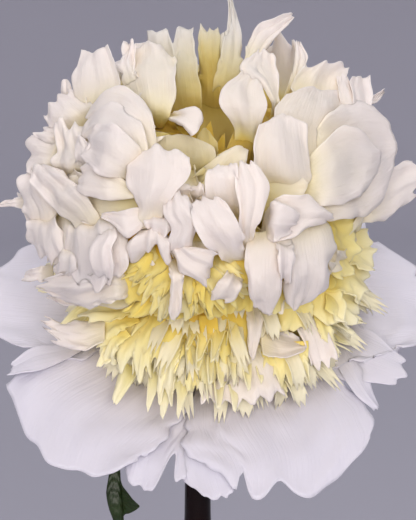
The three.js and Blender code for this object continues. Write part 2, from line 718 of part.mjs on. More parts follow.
const bloom = new THREE.Group();
bloom.position.set(...BLOOM_AT);
bloom.rotation.x = radians(BLOOM_TILT);
bloom.add(
  node("calyx", geometryOf(calyx()), CALYX_GREEN),
  node("guard_petals", geometryOf(guardPetals()), WHITE_PETAL),
  node("yellow_petaloids", geometryOf(yellowPetaloids()), YELLOW_PETAL),
  node("crown_petals", geometryOf(crownPetals()), CREAM_PETAL),
);

const peony = new THREE.Group();
peony.add(
  node("vase", vase(), GLAZE),
  node("water", geometryOf(water()), WATER),
  node("stem", geometryOf(stemSolid(0)), STEM_GREEN),
  node("leaf", geometryOf(leafSolid()), LEAF_GREEN),
  bloom,
);

export default peony;
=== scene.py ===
# %% [markdown]
# # A white peony in a bud vase
#
# The real thing is one cut peony of the bomb form: a saucer of broad white guard petals, a collar
# of yellow petaloids on it, and a ball of ruffled white petals on the collar. It stands in a slim,
# dark, glazed bottle. Every petal is a thin curved sheet, so this lesson builds one good sheet
# first and then grows the whole bloom from it. Petals are measured in millimetres here, and each
# piece is brought to metres as it is finished.

# %% The frame, and what Blender needs
import json
import math

import bpy
import numpy as np
from mathutils import Matrix, Vector

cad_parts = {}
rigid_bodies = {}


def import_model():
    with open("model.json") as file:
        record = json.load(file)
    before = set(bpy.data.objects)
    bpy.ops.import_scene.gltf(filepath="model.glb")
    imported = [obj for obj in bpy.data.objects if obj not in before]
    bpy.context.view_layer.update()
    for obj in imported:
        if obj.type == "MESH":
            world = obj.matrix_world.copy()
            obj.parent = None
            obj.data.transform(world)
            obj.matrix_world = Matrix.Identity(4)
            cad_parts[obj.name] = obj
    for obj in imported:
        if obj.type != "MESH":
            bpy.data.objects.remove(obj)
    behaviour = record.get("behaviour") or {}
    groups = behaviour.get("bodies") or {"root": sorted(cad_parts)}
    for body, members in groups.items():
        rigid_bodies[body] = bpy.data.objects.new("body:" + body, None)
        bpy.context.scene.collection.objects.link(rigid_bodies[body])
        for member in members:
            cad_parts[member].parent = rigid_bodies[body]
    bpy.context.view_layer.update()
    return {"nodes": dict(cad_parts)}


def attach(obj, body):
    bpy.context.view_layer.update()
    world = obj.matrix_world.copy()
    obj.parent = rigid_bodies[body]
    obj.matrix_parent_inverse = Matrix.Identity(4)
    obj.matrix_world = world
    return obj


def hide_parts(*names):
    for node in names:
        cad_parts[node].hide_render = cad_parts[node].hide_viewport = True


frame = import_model()
print("frame:", sorted(frame["nodes"]))

MM = 0.001
# The bloom has a frame of its own: its receptacle is at BLOOM_AT, tilted towards the viewer. VIEW_TILT
# is how far the line of sight is from that frame's axis.
BLOOM_AT = (6, -20, 255)
BLOOM_TILT = 36
CROWN_CENTRE = 64
CROWN_RADIUS = 80
VIEW_TILT = 48
VIEW_DISTANCE = 595

# %% [markdown]
# ## The camera
#
# The bloom is seen from a little above, close, with its ball of petals filling the frame and only
# the vase's neck showing below. A long lens keeps the near petals from swelling. The camera comes
# first, because everything after it is judged through it.

# %% The camera
CAMERA_AIM = Vector((4.9, -60, 284))
CAMERA_ELEVATION = 8
CAMERA_DISTANCE = 600
CAMERA_FIELD = 20.6

lens = bpy.data.cameras.new("camera")
lens.sensor_fit = "AUTO"
lens.angle = math.radians(CAMERA_FIELD)
lens.clip_end = 100
camera = bpy.data.objects.new("camera", lens)
bpy.context.collection.objects.link(camera)
bpy.context.scene.camera = camera
tilt = math.radians(CAMERA_ELEVATION)
away = Vector((0, -math.cos(tilt), math.sin(tilt)))
camera.location = (CAMERA_AIM + away * CAMERA_DISTANCE) * MM
camera.rotation_euler = (-away).to_track_quat("-Z", "Y").to_euler()
print("camera at", [round(x, 3) for x in camera.location])

# %% [markdown]
# ## Small helpers
#
# A plant is irregular, but it must come out the same each time the script runs. So nothing here is
# truly random: draw() gives the k-th petal its own repeatable number.

# %% Small helpers
SEED = 7


def draw(k, salt):
    s = math.sin(k * 12.9898 + salt * 78.233 + SEED) * 43758.5453
    return s - math.floor(s)


def mix(a, b, t):
    return a + (b - a) * t


def between(low, high, x):
    t = np.clip((x - low) / (high - low), 0, 1)
    return t * t * (3 - 2 * t)


def unit(v):
    v = np.asarray(v, float)
    return v / np.linalg.norm(v)


def compass(turn):
    """The way out from the axis at a turn from the front, and the way aside from it."""
    s, c = math.sin(turn), math.cos(turn)
    return np.array([s, -c, 0]), np.array([c, s, 0])


def linear(code, alpha=1.0):
    """An sRGB hex colour as the linear colour that shaders take."""
    parts = [int(code[i : i + 2], 16) / 255 for i in (1, 3, 5)]
    return (*[c / 12.92 if c <= 0.04045 else ((c + 0.055) / 1.055) ** 2.4 for c in parts], alpha)


def node(tree, kind, inputs=None, **settings):
    """Adds a node. An input gets a value, or a link from a socket or from a node's first output."""
    made = tree.nodes.new(kind)
    for key, value in settings.items():
        setattr(made, key, value)
    for key, value in (inputs or {}).items():
        if isinstance(value, bpy.types.Node):
            value = value.outputs[0]
        if isinstance(value, bpy.types.NodeSocket):
            tree.links.new(value, made.inputs[key])
        else:
            made.inputs[key].default_value = value
    return made


print("the first draws:", [round(draw(k, 1), 3) for k in range(4)])

# %% [markdown]
# ## Turning a made shape into a finished piece
#
# A finished piece is a plain mesh at the origin, with its place in its vertices. Modifiers and
# geometry nodes do their work on a first object, and bake() takes the result from it.


# %% Meshes and finished pieces
def mesh_object(name, points, faces, edges=()):
    mesh = bpy.data.meshes.new(name)
    mesh.from_pydata([tuple(p) for p in points], list(edges), [tuple(f) for f in faces])
    made = bpy.data.objects.new(name, mesh)
    bpy.context.collection.objects.link(made)
    return made


def bake(source, name, matrix):
    """The evaluated mesh of source as a plain piece; source itself goes away."""
    graph = bpy.context.evaluated_depsgraph_get()
    mesh = bpy.data.meshes.new_from_object(source.evaluated_get(graph))
    mesh.name = name
    mesh.transform(matrix)
    mesh.shade_smooth()
    bpy.data.objects.remove(source)
    piece = bpy.data.objects.new(name, mesh)
    bpy.context.collection.objects.link(piece)
    mesh.calc_loop_triangles()
    size = [round(d * 1000) for d in piece.dimensions]
    print(name, len(mesh.loop_triangles), "triangles,", size, "mm")
    return piece


def keep(piece, material, replaced):
    piece.data.materials.clear()
    piece.data.materials.append(material)
    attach(piece, "root")
    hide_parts(replaced)


TO_ROW = (
    Matrix.Translation(Vector(BLOOM_AT) * MM)
    @ Matrix.Rotation(math.radians(BLOOM_TILT), 4, "X")
    @ Matrix.Scale(MM, 4)
)
IN_MM = Matrix.Scale(MM, 4)
print("the receptacle in the row:", [round(x, 3) for x in TO_ROW.translation])

# %% [markdown]
# ## One petal
#
# A petal is a thin sheet with a wavy rim and a few notches, and it is soft: it has pleats that run
# up from its claw, and its rim rolls to one side. It could be sculpted, but hundreds of them have
# to differ and still lie in their places. So each one starts from a few numbers that give its
# plain shape, and dress() adds what all petals have. A petal keeps to two coordinates of its own:
# u runs from -1 to 1 across it and v from 0 at its claw to 1 at its end.

# %% What all petals have
# claw and end are widths there as a share of the widest, drop is how far the corners fall back, and
# teeth and count are how deep and how many the end's teeth are.
OUTLINES = {
    "round": dict(claw=0.35, end=0.8, drop=0.34, teeth=0.03, count=2),
    "ragged": dict(claw=0.3, end=0.95, drop=0.22, teeth=0.17, count=3),
    "strap": dict(claw=0.55, end=0.75, drop=0.22, teeth=0.05, count=1),
    "fringe": dict(claw=0.45, end=1.0, drop=0.12, teeth=0.26, count=3),
    "guard": dict(claw=0.2, end=0.78, drop=0.26, teeth=0.025, count=4),
    "sepal": dict(claw=0.8, end=0.35, drop=0.15, teeth=0, count=1),
    "leaflet": dict(claw=0.12, end=0.06, drop=0, teeth=0, count=1),
}
BUCKLE = 0.024  # the height of a broad wave, as a share of its length
LIP = 0.05  # how far the side rims curl up, as a share of the width
ROLL = 0.07  # how far the end rolls, as a share of the width


def petal_coordinates(columns, rows):
    return np.meshgrid(np.linspace(-1, 1, columns + 1), np.linspace(0, 1, rows + 1))


def reach_share(petal, u, drop, teeth, count):
    """How far the petal reaches at u, as a share of its length: this draws its end.

    The corners drop back, count teeth and the petal's own notches go in, and small nicks fray the rim.
    """
    seed = petal["seed"]
    reach = 1 - drop * np.abs(u) ** 2.2
    reach -= teeth * (0.5 - 0.5 * np.cos(math.pi * count * (u + 1) + 2 * math.pi * draw(seed, 1)))
    for at, depth, wide in petal.get("notches", ()):
        reach -= depth * np.exp(-(((u - at) / wide) ** 2))
    nick = petal.get("nick", 0.02)
    for octave in (1, 2, 3):
        reach -= nick / octave * (0.5 + 0.5 * np.sin(7 * octave * u + 6.3 * draw(seed, 20 + octave)))
    return reach


def side_wobble(petal, u, v, length):
    """The side rims aren't cut with a knife: they go in and out every few millimetres."""
    own = np.where(u < 0, draw(petal["seed"], 31), draw(petal["seed"], 32)) * 6.3
    turns = v * length / 5
    tear = 0.5 + 0.3 * np.sin(turns + own) + 0.2 * np.sin(2.3 * turns + 2 * own)
    return u * (1 - petal.get("torn", 0.12) * tear * np.abs(u) ** 3 * between(0.1, 0.4, v))


def buckle(petal, across, along):
    """The soft sheet bends in broad waves that run each their own way."""
    height = 0
    for k in (0, 1, 2):
        wave = mix(14, 30, draw(petal["seed"], 33 + k))
        turn = 6.3 * draw(petal["seed"], 36 + k)
        path = across * math.cos(turn) + along * math.sin(turn)
        phase = 6.3 * draw(petal["seed"], 39 + k)
        height = height + wave * BUCKLE * np.sin(6.3 * path / wave + phase)
    return height


def dress(points, u, v, petal, width, length):
    """Adds waves, pleats, bends and a rolled rim to a petal's plain grid of points."""
    seed = petal["seed"]
    across, along = u * width * 0.5, v * length
    normal = np.cross(np.gradient(points, axis=1), np.gradient(points, axis=0))
    normal /= np.linalg.norm(normal, axis=-1, keepdims=True) + 1e-9
    rim = np.maximum(np.abs(u), v) ** 3 * np.clip(1.6 * v, 0, 1)
    turn = np.arctan2(across, (v - 0.35) * length)
    phase = 2 * math.pi * draw(seed, 2)
    waves = petal.get("waves", 3)
    flutes = np.sin(waves * turn + phase) + 0.4 * rim * np.sin(2.7 * waves * turn + 2 * phase)
    pleats = np.abs(np.sin((2 + 2 * draw(seed, 24)) * u + 6.3 * draw(seed, 25) + 0.8 * v)) - 0.64
    twist = mix(-1, 1, draw(seed, 27)) * petal.get("twist", 0.1) * width
    roll = petal.get("roll", mix(-0.6, 1, draw(seed, 26)))
    height = petal["flute"] * rim * flutes
    height = height + petal.get("pleat", 0.9) * pleats * between(0.05, 0.6, v)
    height = height + petal.get("buckle", 1) * buckle(petal, across, along) * between(0, 0.4, v)
    lip = mix(0.2, 1, draw(seed, 28)) * between(0.3, 0.7, v)
    height = height + lip * width * LIP * np.clip((np.abs(u) - 0.7) / 0.3, 0, 1) ** 2
    height = height + twist * (u**3 - u) + roll * width * ROLL * np.clip((v - 0.75) / 0.25, 0, 1) ** 2
    return points + normal * height[..., None], across, along, rim, v


print("outlines:", *OUTLINES)


# %% [markdown]
# ## A petal along a line
#
# The petals that nobody looks at one by one follow a bent middle line through a root, a waist and
# a tip. The face that the petal shows, its width and its cup in degrees do the rest.

# %% A petal along a line
WIDEST = 0.6
SPINE_STEPS = 12


def spine_of(petal):
    root, waist, tip = (np.asarray(petal[key], float) for key in ("root", "waist", "tip"))
    pull = (4 * waist - root - tip) / 2

    def place(t):
        t = np.asarray(t)[..., None]
        return (1 - t) ** 2 * root + 2 * t * (1 - t) * pull + t**2 * tip

    def along(t):
        t = np.asarray(t)[..., None]
        d = (1 - t) * (pull - root) + t * (tip - pull)
        return d / np.linalg.norm(d, axis=-1, keepdims=True)

    faces = [None] * (SPINE_STEPS + 1)
    face = np.asarray(petal["face"], float)
    for i in range(SPINE_STEPS, -1, -1):
        line = along(i / SPINE_STEPS)
        face = unit(face - line * face.dot(line))
        faces[i] = face
    length = np.linalg.norm(root - waist) + np.linalg.norm(waist - tip)
    return place, along, np.array(faces), length


def line_petal(petal, columns, rows):
    place, along, faces, length = spine_of(petal)
    outline = OUTLINES[petal["outline"]]
    width = petal["width"]
    u, v = petal_coordinates(columns, rows)
    t = v * reach_share(petal, u, outline["drop"], outline["teeth"], outline["count"])
    step = np.clip(t * SPINE_STEPS, 0, SPINE_STEPS - 1e-6)
    low = step.astype(int)
    part = (step - low)[..., None]
    face = faces[low] * (1 - part) + faces[low + 1] * part
    line = along(t)
    face = face - line * (face * line).sum(-1, keepdims=True)
    face /= np.linalg.norm(face, axis=-1, keepdims=True)
    side = np.cross(line, face)
    rising = mix(outline["claw"], 1, between(0, WIDEST, v))
    falling = mix(1, outline["end"], between(WIDEST, 1, v))
    edge = side_wobble(petal, u, v, length)
    offset = edge * width * np.where(v < WIDEST, rising, falling) / 2
    bend = math.radians(petal["cup"]) / width or 1e-6
    height = petal.get("fold", 0) * np.abs(offset) + (1 - np.cos(bend * offset)) / bend
    points = place(t) + side * (np.sin(bend * offset) / bend)[..., None] + face * height[..., None]
    return dress(points, u, v, petal, width, length)


print("a petal along a line is widest at", WIDEST, "of its length")

# %% [markdown]
# ## Places as they are seen
#
# The petals that one can tell apart need more say, and the easiest to say is where their rims are
# seen: how many millimetres across and up from the crown's middle. Two functions put such a place in
# space. on_ball() lays it on the crown's ball, lifted towards the viewer, and on_saucer() lays it at
# a height above the receptacle.

# %% Places as they are seen
SEEN_BALL = 76
BALL_EDGE = 0.86  # beyond this share of the ball, places go back along a cone
BALL_BACK = 1.1
VIEW_COS, VIEW_SIN = math.cos(math.radians(VIEW_TILT)), math.sin(math.radians(VIEW_TILT))


def seen(across, up, near):
    """A place to the right, up and near as seen from in front, in the bloom's own frame."""
    across, up, near = np.broadcast_arrays(across, up, near)
    scale = 1 - near / VIEW_DISTANCE
    a, b = across * scale, up * scale
    back, high = b * VIEW_COS - near * VIEW_SIN, b * VIEW_SIN + near * VIEW_COS
    return np.stack([a, back, high + CROWN_CENTRE], -1)


def seen_direction(across, up, near):
    return np.array([across, up * VIEW_COS - near * VIEW_SIN, up * VIEW_SIN + near * VIEW_COS])


def on_ball(across, up, lift):
    out = np.hypot(across, up)
    edge = BALL_EDGE * SEEN_BALL
    near = np.sqrt(np.maximum(SEEN_BALL**2 - np.minimum(out, edge) ** 2, 0))
    near = near - BALL_BACK * np.maximum(out - edge, 0)
    return seen(across, up, near + lift)


def on_saucer(across, up, height):
    """The nearer a place is, the smaller it has to be to look the same, so near is found in steps."""
    near = np.zeros(np.shape(across))
    for _ in range(6):
        y = (up * (1 - near / VIEW_DISTANCE) - (height - CROWN_CENTRE) * VIEW_SIN) / VIEW_COS
        near = -y * VIEW_SIN + (height - CROWN_CENTRE) * VIEW_COS
    return seen(across, up, near)


print("the crown's middle:", on_ball(0.0, 0.0, 0.0).round(1), "in mm")

# %% [markdown]
# ## A petal through rows
#
# Such a petal is a few rows from its claw to its end. Each row gives where its two rims are seen
# (across and up, twice), how high it lies and how much its middle bulges above its rims. A smooth
# surface goes through all of them, as a lofted sheet would.

# %% A petal through rows
BULGE_SHARE = 0.32  # the waves and pleats that dress() adds make up the rest of the bulge


def through(points, knots, t):
    """Points at t of a smooth curve that passes through the given points at their knots."""
    slopes = np.empty_like(points)
    slopes[1:-1] = (points[2:] - points[:-2]) / (knots[2:] - knots[:-2])[:, None]
    slopes[0] = (points[1] - points[0]) / (knots[1] - knots[0])
    slopes[-1] = (points[-1] - points[-2]) / (knots[-1] - knots[-2])
    k = np.clip(np.searchsorted(knots, t, side="right") - 1, 0, len(knots) - 2)
    gap = (knots[k + 1] - knots[k])[..., None]
    x = ((t - knots[k]) / gap[..., 0])[..., None]
    a = (1 + 2 * x) * (1 - x) ** 2 * points[k] + x**2 * (3 - 2 * x) * points[k + 1]
    return a + gap * (x * (1 - x) ** 2 * slopes[k] - x**2 * (1 - x) * slopes[k + 1])


def row_petal(petal, columns, rows):
    table = np.array(petal["rows"], float)
    left, right, height, bulge = table[:, 0:2], table[:, 2:4], table[:, 4], table[:, 5]
    middle = (left + right) / 2
    more = (right - left) * (petal.get("widen", 1) - 1) / 2
    left, right = left - more, right + more
    place = petal["place"]
    height = height + petal.get("raised", 0)
    height[0] -= petal.get("sink", 0)
    nets = [
        place(left[:, 0], left[:, 1], height),
        place(middle[:, 0], middle[:, 1], height + bulge * BULGE_SHARE),
        place(right[:, 0], right[:, 1], height),
    ]
    steps = np.linalg.norm(np.diff(nets[1], axis=0), axis=1)
    knots = np.concatenate([[0], np.cumsum(steps)])
    length = knots[-1]
    knots /= length
    width = np.linalg.norm(nets[0] - nets[2], axis=1).max()
    u, v = petal_coordinates(columns, rows)
    t = v * reach_share(petal, u, *petal.get("end", (0.1, 0.06, 3)))
    a, b, c = (through(net, knots, t) for net in nets)
    w = side_wobble(petal, u, v, length)[..., None]
    points = a * w * (w - 1) / 2 + b * (1 - w * w) + c * w * (w + 1) / 2
    return dress(points, u, v, petal, width, length)


def shaped(*rows, **values):
    """One line of a petal table: the rows, and what else sets the petal apart."""
    return dict(rows=rows, **values)


def listed(table, place, first_seed, **usual):
    """The petals of a table, with the values that they share unless they have their own."""
    plain = dict(flute=1.8, waves=5, place=place)
    return [{**plain, "seed": first_seed + k, **usual, **p} for k, p in enumerate(table.values())]


print("rows go from claw to end; the bulge counts", BULGE_SHARE)

# %% [markdown]
# ## Many petals in one sheet
#
# The petals of one colour are joined into one mesh. Each point also keeps three numbers for the
# colouring: heart runs from 0 deep in the bloom to 1 outside, rim grows towards the petal's edge,
# and tint is one number for the whole petal. The flat pattern in millimetres goes to a UV map, so
# that veins can follow the petal however it is bent. A claw is coloured as deeper in the bloom than
# it is: painted shade of the petals round it. A petal's own warm value lowers the number too: a
# warmer tint, and painted shade for the petals deep in hollows and the cleft.

# %% Many petals in one sheet
CLAW_SHADE = 0.65


def petal_sheet(petals, columns, rows, limit, heart):
    """One mesh of petals. limit() keeps its points in their layer, heart() tells how deep they are."""
    points, faces, hearts, rims, tints, flats = [], [], [], [], [], []
    first = 0
    for petal in petals:
        c, r = petal.get("grid", (columns, rows))
        make = row_petal if "rows" in petal else line_petal
        grid, across, along, rim, v = make(petal, c, r)
        flat = limit(grid.reshape(-1, 3))
        points.append(flat)
        # Painted shade: a claw's colour goes deeper than its place gives, and so does a petal's with a warm
        # value.
        claw_shading = mix(CLAW_SHADE, 1, between(0, 0.6, v.ravel()))
        hearts.append(heart(flat) * claw_shading - petal.get("warm", 0))
        rims.append(rim.ravel())
        tints.append(np.full(len(flat), draw(petal["seed"], 30)))
        flats.append(np.stack([across.ravel(), along.ravel()], -1))
        j, i = np.mgrid[0:r, 0:c]
        a = (first + j * (c + 1) + i).ravel()
        faces.append(np.stack([a, a + 1, a + c + 2, a + c + 1], -1))
        first += len(flat)
    sheet = mesh_object("sheet", np.concatenate(points), np.concatenate(faces).tolist())
    mesh = sheet.data
    for key, values in (("heart", hearts), ("rim", rims), ("tint", tints)):
        mesh.attributes.new(key, "FLOAT", "POINT").data.foreach_set("value", np.concatenate(values))
    corners = np.empty(len(mesh.loops), int)
    mesh.loops.foreach_get("vertex_index", corners)
    pattern = np.concatenate(flats)[corners] * MM
    mesh.uv_layers.new(name="pattern").data.foreach_set("uv", pattern.ravel())
    return sheet


print("a claw's colour counts", CLAW_SHADE, "of its place in the bloom")

# %% [markdown]
# ## From sheet to petal tissue
#
# Petal tissue is about half a millimetre thick and slightly crumpled, more so near the rim. Both
# follow the surface wherever it goes, which is what geometry nodes are for: a small tree pushes the
# points along their normals by a noise, and gives the sheet its material. Solidify then makes the
# two faces and the rim. Three functions are all that such a tree needs round it.


# %% Trees and their inputs
SOCKETS = {"float": "NodeSocketFloat", "int": "NodeSocketInt", "material": "NodeSocketMaterial"}
SOCKETS.update(geometry="NodeSocketGeometry", collection="NodeSocketCollection")


def new_tree(name, **inputs):
    """A geometry tree with one mesh in and one out, and the named inputs given."""
    tree = bpy.data.node_groups.new(name, "GeometryNodeTree")
    face = tree.interface
    face.new_socket("Geometry", in_out="OUTPUT", socket_type=SOCKETS["geometry"])
    face.new_socket("Geometry", in_out="INPUT", socket_type=SOCKETS["geometry"])
    for key, (kind, value) in inputs.items():
        socket = face.new_socket(key, in_out="INPUT", socket_type=SOCKETS[kind])
        if value is not None:
            socket.default_value = value
    return tree, node(tree, "NodeGroupInput").outputs


def end_tree(tree, geometry, material):
    whole = node(tree, "GeometryNodeRealizeInstances", {0: geometry})
    dressed = node(tree, "GeometryNodeSetMaterial", {"Geometry": whole, "Material": material})
    node(tree, "NodeGroupOutput", {0: dressed})
    print("tree:", tree.name, "with", len(tree.nodes), "nodes")
    return tree


def grow(source, label, tree, **values):
    """Puts a tree on an object with its inputs set by their identifiers."""
    modifier = source.modifiers.new(label, "NODES")
    modifier.node_group = tree
    for item in tree.interface.items_tree:
        if item.in_out == "INPUT" and item.name in values:
            modifier[item.identifier] = values[item.name]


print("kinds of input:", *SOCKETS)

# %% [markdown]
# ## The crumple
#
# The tree's height sets how deep the creases are, and its size how far apart. A petal that has
# just opened is creased finely, and a broad guard petal has few long ones.

# %% The tree that crumples a sheet
def crumple_tree():
    numbers = dict(Height=("float", 0.5), Size=("float", 9.0), Seed=("float", 1.0))
    tree, into = new_tree("Petal crumple", **numbers, Material=("material", None))
    here = node(tree, "GeometryNodeInputPosition")
    rim = node(tree, "GeometryNodeInputNamedAttribute", {"Name": "rim"}, data_type="FLOAT")
    size = node(tree, "ShaderNodeMath", {0: 1.0, 1: into["Size"]}, operation="DIVIDE")
    look = {"Detail": 3.0, "Vector": here, "W": into["Seed"], "Scale": size}
    noise = node(tree, "ShaderNodeTexNoise", look, noise_dimensions="4D")
    centred = node(tree, "ShaderNodeMath", {0: noise, 1: 0.5}, operation="SUBTRACT")
    # The distance from the noise's middle value has sharp valleys, which read as creases.
    creased = node(tree, "ShaderNodeMath", {0: centred}, operation="ABSOLUTE")
    evened = node(tree, "ShaderNodeMath", {0: creased, 1: 0.08}, operation="SUBTRACT")
    more = node(tree, "ShaderNodeMath", {0: rim, 1: 0.5, 2: 0.5}, operation="MULTIPLY_ADD")
    share = node(tree, "ShaderNodeMath", {0: evened, 1: more}, operation="MULTIPLY")
    high = node(tree, "ShaderNodeMath", {0: share, 1: into["Height"]}, operation="MULTIPLY")
    normal = node(tree, "GeometryNodeInputNormal")
    push = node(tree, "ShaderNodeVectorMath", {0: normal, "Scale": high}, operation="SCALE")
    moved = node(tree, "GeometryNodeSetPosition", {"Geometry": into["Geometry"], "Offset": push})
    return end_tree(tree, moved, into["Material"])


CRUMPLE = crumple_tree()


def thicken(sheet, thickness):
    solid = sheet.modifiers.new("thickness", "SOLIDIFY")
    solid.thickness, solid.offset = thickness, 0


def tissue(name, sheet, material, replaced, thickness, height=5.0, size=16.0, matrix=TO_ROW):
    """Crumples and thickens a sheet and keeps it as a finished piece."""
    grow(sheet, "crumple", CRUMPLE, Height=height, Size=size, Seed=1.0, Material=material)
    thicken(sheet, thickness)
    keep(bake(sheet, name, matrix), material, replaced)


# %% [markdown]
# ## What petals look like
#
# A white petal isn't white paint. It is a thin sheet of clear cells full of air gaps: light goes
# in, scatters and comes out, also on the far side, so shadows inside the bloom stay light and
# warm. The colour changes from deep gold at the heart through cream to a white with a trace of
# pink: partly the petals' own colour, and partly painted warm shade of the deep places. So the
# base colour follows the heart number, subsurface scattering gives the glow, and a bump drawn out
# along the petal gives its veins.


# %% Petal materials
def blank_material(name):
    material = bpy.data.materials.new(name)
    material.use_nodes = True
    material.node_tree.nodes.clear()
    return material, material.node_tree


def end_material(tree, colour, relief, strength, distance, look):
    """The last nodes of every material: relief is the height that the bump follows."""
    bump = node(tree, "ShaderNodeBump", {"Strength": strength, "Distance": distance, "Height": relief})
    shader = node(tree, "ShaderNodeBsdfPrincipled", {**look, "Base Color": colour, "Normal": bump})
    node(tree, "ShaderNodeOutputMaterial", {"Surface": shader})


def petal_material(name, stops, vein=0.7, glow=0.5):
    material, tree = blank_material(name)
    kept = {key: node(tree, "ShaderNodeAttribute", attribute_name=key) for key in ("heart", "tint", "rim")}
    heart, tint, rim = (source.outputs["Fac"] for source in kept.values())
    here = node(tree, "ShaderNodeTexCoord").outputs["Object"]
    # Clouds some 12 mm across shift the colour a little, as ageing tissue does.
    clouds = node(tree, "ShaderNodeTexNoise", {"Scale": 1 / 0.012, "Detail": 3.0, "Vector": here})
    shift = node(tree, "ShaderNodeMath", {0: clouds, 1: 0.16, 2: -0.08}, operation="MULTIPLY_ADD")
    own = node(tree, "ShaderNodeMath", {0: tint, 1: 0.1, 2: -0.05}, operation="MULTIPLY_ADD")
    moved = node(tree, "ShaderNodeMath", {0: heart, 1: shift}, operation="ADD")
    deep = node(tree, "ShaderNodeMath", {0: moved, 1: own}, operation="ADD")
    depth = node(tree, "ShaderNodeMath", {0: rim, 1: 0.12, 2: deep}, operation="MULTIPLY_ADD")
    ramp = node(tree, "ShaderNodeValToRGB", {0: depth})
    ramp.color_ramp.interpolation = "B_SPLINE"
    points = ramp.color_ramp.elements
    for at, code in stops[2:]:
        points.new(at).color = linear(code)
    for point, (at, code) in zip(points, sorted(stops)):
        point.position, point.color = at, linear(code)
    # Veins lie about 1.2 mm apart across the petal and run on for some 40 mm.
    pattern = node(tree, "ShaderNodeUVMap", uv_map="pattern")
    drawn = node(tree, "ShaderNodeMapping", {"Scale": (1 / 0.0012, 1 / 0.04, 1), "Vector": pattern})
    veins = node(tree, "ShaderNodeTexNoise", {"Scale": 1.0, "Detail": 2.0, "Vector": drawn})
    look = {"Roughness": 0.55, "IOR": 1.4, "Sheen Weight": 0.08, "Subsurface Weight": glow}
    # Light goes some 1.5 mm sideways in the tissue, the blue a little less far.
    look.update({"Subsurface Radius": (1.0, 1.0, 0.95), "Subsurface Scale": 0.0015})
    end_material(tree, ramp, veins, vein, 0.0004, look)
    return material


# The first two colours are the ends of the ramp, heart and outside, and the others lie between them.
WHITE_STOPS = [(0.0, "#dcb034"), (1.0, "#f6e9e4"), (0.2, "#ecd474"), (0.42, "#f5e6b8"), (0.7, "#f6e8d4")]
YELLOW_STOPS = [(0.0, "#dca41c"), (1.0, "#faf2d0"), (0.2, "#f0cc48"), (0.45, "#f9e280"), (0.75, "#fbf0b8")]
GUARD_STOPS = [(0.0, "#dfd08e"), (1.0, "#dad8e4"), (0.25, "#dfd8cc"), (0.5, "#dcd6da"), (0.75, "#dad7e0")]
CLEFT_SHADE_STOPS = [(0.0, "#b69a40"), (1.0, "#dedad4"), (0.2, "#c6b26a"), (0.45, "#d0c498"), (0.7, "#dad2be")]
# Fresh white tissue is full of air gaps and glows most.
CROWN_WHITE = petal_material("White petal, fresh tissue", WHITE_STOPS, glow=0.7)
# Petaloids are thin, but their yellow swallows more of the light, and their veins hardly show.
COLLAR_YELLOW = petal_material("Petaloid, thin yellow tissue", YELLOW_STOPS, vein=0.2, glow=0.4)
# Guard petals are the thickest: cooler, greyer, with less glow.
GUARD_WHITE = petal_material("Guard petal, broad tissue", GUARD_STOPS, vein=0.6, glow=0.35)
# The petals round the cleft are greyer and more olive than the crown's: painted shade of the deep
# cleft, with a greenish tint at the claw.
CLEFT_SHADED = petal_material("Greenish petal, painted cleft shade", CLEFT_SHADE_STOPS, glow=0.6)
for tissue_made in (CROWN_WHITE, COLLAR_YELLOW, GUARD_WHITE, CLEFT_SHADED):
    print("material:", tissue_made.name)

# %% [markdown]
# ## The layers of the bloom
#
# Three layers lie over each other, and none may cut into the next. Each layer has a limit that its
# points are pushed back to, softly, so that a petal that meets its neighbour bends along it. Each
# layer also has its heart, from 0 deep inside to 1 outside, for the colouring.

# %% The layers' limits
COLLAR_Z, COLLAR_SLOPE_X, COLLAR_SLOPE_Y = 46, 0.1, -0.26
SAUCER_Z = 11
COLLAR_REACH = 81
PETAL_MARGIN = 1.1  # half the gap between two layers
PETAL_SOFTNESS = 2.5  # how gently a petal bends where it meets a limit


def soft_floor(value, floor):
    return floor + PETAL_SOFTNESS * np.logaddexp(0, (value - floor) / PETAL_SOFTNESS)


def soft_ceiling(value, ceiling):
    return ceiling - soft_floor(ceiling - value, 0)


def collar_plane(p):
    return COLLAR_Z + COLLAR_SLOPE_X * p[:, 0] + COLLAR_SLOPE_Y * p[:, 1]


def in_crown(p):
    p[:, 2] = soft_floor(p[:, 2], collar_plane(p) + PETAL_MARGIN)
    return p


def in_collar(p):
    out = np.hypot(p[:, 0], p[:, 1]) + 1e-9
    p[:, :2] *= (soft_ceiling(out, COLLAR_REACH) / out)[:, None]
    p[:, 2] = soft_floor(p[:, 2], SAUCER_Z + PETAL_MARGIN)
    p[:, 2] = soft_ceiling(p[:, 2], collar_plane(p) - PETAL_MARGIN)
    return p


def in_saucer(p):
    p[:, 2] = soft_ceiling(p[:, 2], SAUCER_Z - PETAL_MARGIN)
    return p


# The heart number falls towards the ball's middle: the petals' own yellow bases, and painted warm shade of
# the recesses between them.
def crown_heart(p):
    return between(46, 84, np.linalg.norm(p - (0, 0, CROWN_CENTRE), axis=1))


def collar_heart(p):
    return between(26, 88, np.hypot(p[:, 0], p[:, 1]))


def saucer_heart(p):
    return between(20, 105, np.hypot(p[:, 0], p[:, 1]))


def as_it_is(p):
    return p


IN_CROWN, IN_COLLAR, IN_SAUCER = (in_crown, crown_heart), (in_collar, collar_heart), (in_saucer, saucer_heart)
UNLIMITED = (as_it_is, lambda p: np.ones(len(p)))
print("the collar ends", COLLAR_Z, "mm above the receptacle, the saucer", SAUCER_Z)

# %% [markdown]
# ## The crown petals that face the viewer
#
# These are the petals one can count, from the left to the right of the crown. A row holds the
# place of one rim, across and up, the place of the other rim, the lift off the ball, and the
# bulge of the middle. The end is how far its corners drop back, and how deep and how many its
# teeth are.

